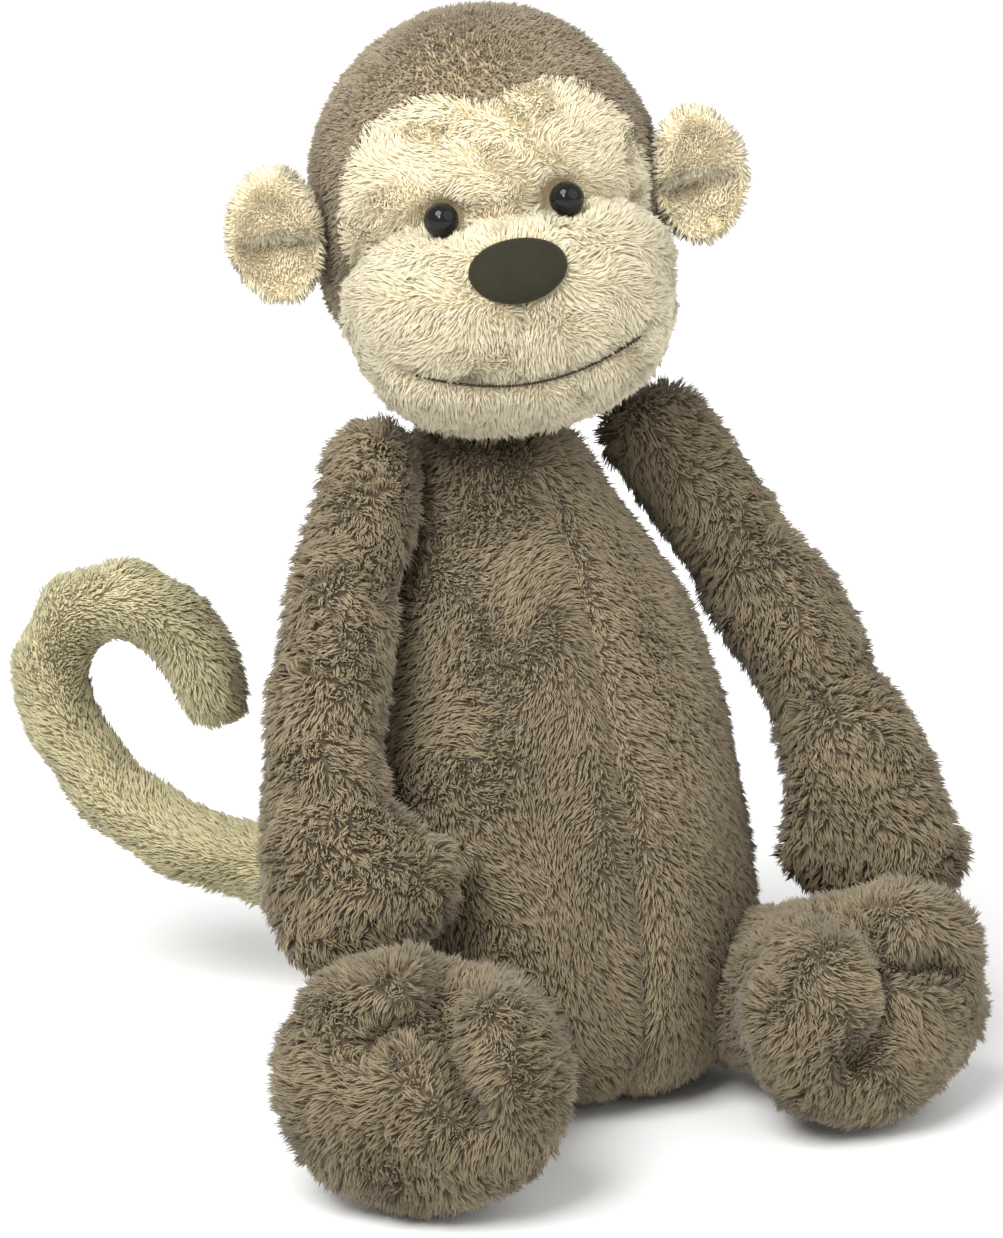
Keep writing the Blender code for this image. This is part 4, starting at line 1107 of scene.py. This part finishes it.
def build_head(skins):
    """The pile of the cap, the face and the muzzle, which part round the eyes, nose and mouth."""
    head = skins["head"]
    eyes = [eye_place(sign) for sign in (1.0, -1.0)]
    mouth = head_to_world(mouth_line(2, 3.0)) / MM
    philtrum = head_to_world(philtrum_line(PHILTRUM[1] + 2, 3.0)) / MM
    rim = head_to_world(muzzle_rim()) / MM
    nose_at = muzzle_point(np.array([0.0]), np.radians(np.array([NOSE_LATITUDE])), HEAD_INSET)[0]

    def eye_gap(p):
        """How far points on the head's skin are from the rim of the nearer bead, seen from in front."""
        gap = np.full(len(p), 1e9)
        for spot, out in eyes:
            off = p - spot
            flat = np.linalg.norm(off - (off @ out)[:, None] * out, axis=1) - EYE_RADIUS
            gap = np.where(off @ out < -8, gap, np.minimum(gap, flat))
        return gap

    def short_by_eyes(root):
        return 1.0 - 0.55 * bell(np.maximum(eye_gap(world_to_head(root)), 0), 2.2)

    def clear_of_features(root):
        p = world_to_head(root)
        keep = eye_gap(p) > EYE_CLEAR
        m = (p - MUZZLE_AT) / MUZZLE
        lon = np.degrees(np.arctan2(m[:, 0], -m[:, 1]))
        lat = np.degrees(np.arcsin(np.clip(m[:, 2] / np.linalg.norm(m, axis=1), -1, 1)))
        oval = (lon / NOSE_SPREAD[0]) ** 2 + ((lat - NOSE_LATITUDE) / NOSE_SPREAD[1]) ** 2
        keep &= ~((oval < NOSE_CLEAR) & (p[:, 1] < MUZZLE_AT[1]))
        return keep & (line_distance(root, mouth) > MOUTH_CLEAR)

    def face_region(root, normal):
        return (head_zone(root) == 1) & clear_of_features(root)

    def muzzle_region(root, normal):
        return (head_zone(root) == 2) & clear_of_features(root)

    def cap_comb(points, normal):
        p = world_to_head(points)
        way = np.stack([p[:, 0] * 0.5, np.full(len(p), -18.0), p[:, 2] * 0.2 - 14.0], 1) @ HEAD_TURN.T
        return unit(way) + waves(points, 22, 21) * 0.35

    def face_comb(points, normal):
        p = world_to_head(points)
        way = np.stack([p[:, 0], p[:, 1] * 0.0, p[:, 2] + 2.0], 1) @ HEAD_TURN.T
        return unit(way) * 0.7 + waves(points, 13, 22) * 0.9

    def muzzle_comb(points, normal):
        p = world_to_head(points)
        way = unit(p - nose_at)
        way[:, 2] -= 0.25
        return way @ HEAD_TURN.T + waves(points, 12, 23) * 0.7

    def near_mouth(root, amount, width):
        near = np.minimum(line_distance(root, mouth), line_distance(root, philtrum) * 1.3)
        return 1.0 - amount * bell(near, width)

    def face_tone_and_rim_shade(root):
        # painted shade along the muzzle's rim
        return FACE_TONE - RIM_SHADE * bell(line_distance(root, rim), 3.0)

    def muzzle_shade(root):
        height = np.clip((world_to_head(root)[:, 2] + 25.0) / 25.0, 0, 1)
        # painted shade, darker by the mouth and the philtrum
        return np.interp(height, (0, 1), MUZZLE_SHADED_TONES) * near_mouth(root, 0.20, 2.0)

    grow("head_cap_pile", head, "cap", "cap", cap_comb, "head", lambda root, normal: head_zone(root) == 0,
         stands_for=("head_back_left_panel", "head_back_right_panel"))
    grow("face_pile", head, "cream", "face", face_comb, "head", face_region, short_by_eyes, face_tone_and_rim_shade,
         ("face_panel",))
    grow("muzzle_pile", head, "cream", "muzzle", muzzle_comb, "head", muzzle_region,
         lambda root: near_mouth(root, 0.25, 2.0) * short_by_eyes(root), muzzle_shade,
         ("muzzle_upper_panel", "muzzle_chin_panel"))
    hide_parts("head_stuffing", "muzzle_stuffing", "eye_left_washer", "eye_right_washer")


def build_ear(body, sign):
    ear = put(body + "_skin", rings_mesh(body, ear_rings(sign)), SKIN["cream"])
    middle = head_to_world(np.array((sign * (EAR_AT[0] + EAR[0]), EAR_AT[1], EAR_AT[2])))

    def ear_comb(points, normal):
        return unit(points - middle) + waves(points, 10, 31) * 0.7

    def ear_tone_and_groove_shade(root):
        """Painted shade: darker in the groove between the lobes."""
        p = world_to_head(root)
        height = p[:, 2] - EAR_AT[2] - EAR_SHIFT[sign][2]
        inner = np.clip(1 - (sign * p[:, 0] - EAR_AT[0]) / (2 * EAR[0]), 0, 1)
        return EAR_TONE - EAR_GROOVE_SHADE * inner * bell(height - EAR_CREASE + 2.0, 2.6)

    grow(body + "_pile", ear, "cream", "ear", ear_comb, body, tone_of=ear_tone_and_groove_shade,
         stands_for=(body + "_front_leaf",))
    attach(ear, body)
    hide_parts(body + "_back_leaf")


def bead(label, sign):
    """A round bead eye, a little flattened, with its back in the cloth."""
    spot, out = eye_place(sign)
    side = unit(np.cross(out, (0.0, 0.0, 1.0)))
    other = np.cross(out, side)
    angles = circle(48)
    ring = around(angles, side, other)
    rings = []
    for a in np.radians(np.linspace(-72, 88, 22)):
        lift = 0.1 + EYE_RADIUS * 0.95 * math.sin(a)
        rings.append(head_to_world(spot + out * lift + ring * EYE_RADIUS * math.cos(a)))
    eye = put("eye_" + label + "_bead", rings_mesh("bead", rings), bead_look)
    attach(eye, "head")
    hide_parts("eye_" + label)


def nose():
    """A plump oval of suede on the muzzle, a little narrower below."""
    angles = circle(72)
    rings = []
    front = [(s, NOSE_PLUMP * (1 - s ** 3.2) ** 0.6 + 0.1) for s in np.linspace(0.03, 0.995, 16)]
    back = [(1.0, -0.6), (0.96, -2.4), (0.5, -NOSE_PLUMP), (0.03, -NOSE_PLUMP)]
    for share, lift in front + back:
        narrow = 1.0 + 0.10 * np.sin(angles)
        lons = math.radians(NOSE_SPREAD[0]) * share * np.cos(angles) * narrow
        lats = math.radians(NOSE_LATITUDE) + math.radians(NOSE_SPREAD[1]) * share * np.sin(angles)
        rings.append(head_to_world(muzzle_point(lons, lats, -lift)))
    piece = put("nose_suede", rings_mesh("nose", rings), nose_look)
    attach(piece, "head")
    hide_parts("nose")


# The smile's thread: how deep it lies, how far its plies are from its middle, their radius and turns
THREAD_INSET, PLY_OFFSET, PLY_RADIUS, PLY_TURNS = 2.7, 0.20, 0.21, 34


def smile_thread():
    """Two plies of thread twisted along the seam of the smile."""
    span = math.radians(MOUTH_SPAN)
    lons = np.linspace(-span, span, 240)
    line = muzzle_point(lons, smile(lons), THREAD_INSET)
    along = unit(np.gradient(line, axis=0))
    out = unit((line - MUZZLE_AT) / MUZZLE ** 2)
    side = np.cross(along, out)
    angles = circle(8)
    parts = []
    for phase in (0.0, math.pi):
        twist = np.linspace(0, 2 * math.pi * PLY_TURNS, len(lons)) + phase
        middle = line + PLY_OFFSET * around(twist, out, side)
        rings = [head_to_world(c + PLY_RADIUS * around(angles, o, s)) for c, o, s in zip(middle, out, side)]
        parts.append(rings_mesh("ply", rings))
    piece = joined("smile_twist", parts, thread_look)
    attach(piece, "head")
    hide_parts("smile_thread")


def build_neck():
    """The short furry neck between the torso and the head."""
    angles = circle(48)
    rings = []
    for share in np.linspace(0, 1, 12):
        z = NECK_Z[0] + (NECK_Z[1] - NECK_Z[0]) * share
        radius = NECK_RADIUS - NECK_PINCH * abs(2 * share - 1) ** 3
        rings.append(level_ring(angles, z, *NECK_AT, radius, radius) * MM)
    neck = put("neck_skin", rings_mesh("neck", rings), SKIN["brown"])
    grow("neck_pile", neck, "brown", "neck", downward, "neck")
    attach(neck, "neck")
    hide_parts("neck_plug")


nose_look = suede_material("nose_suede", (0.016, 0.015, 0.007), (0.029, 0.027, 0.013))
bead_look = bead_material("black_bead")
thread_look = thread_material("dark_thread")

studio()
skins = build_skins()
sculpt(skins)
for body, skin in skins.items():
    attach(skin, body)
build_pile(skins)
build_head(skins)
for label, sign in (("left", 1.0), ("right", -1.0)):
    build_ear("ear_" + label, sign)
    bead(label, sign)
nose()
smile_thread()
build_neck()
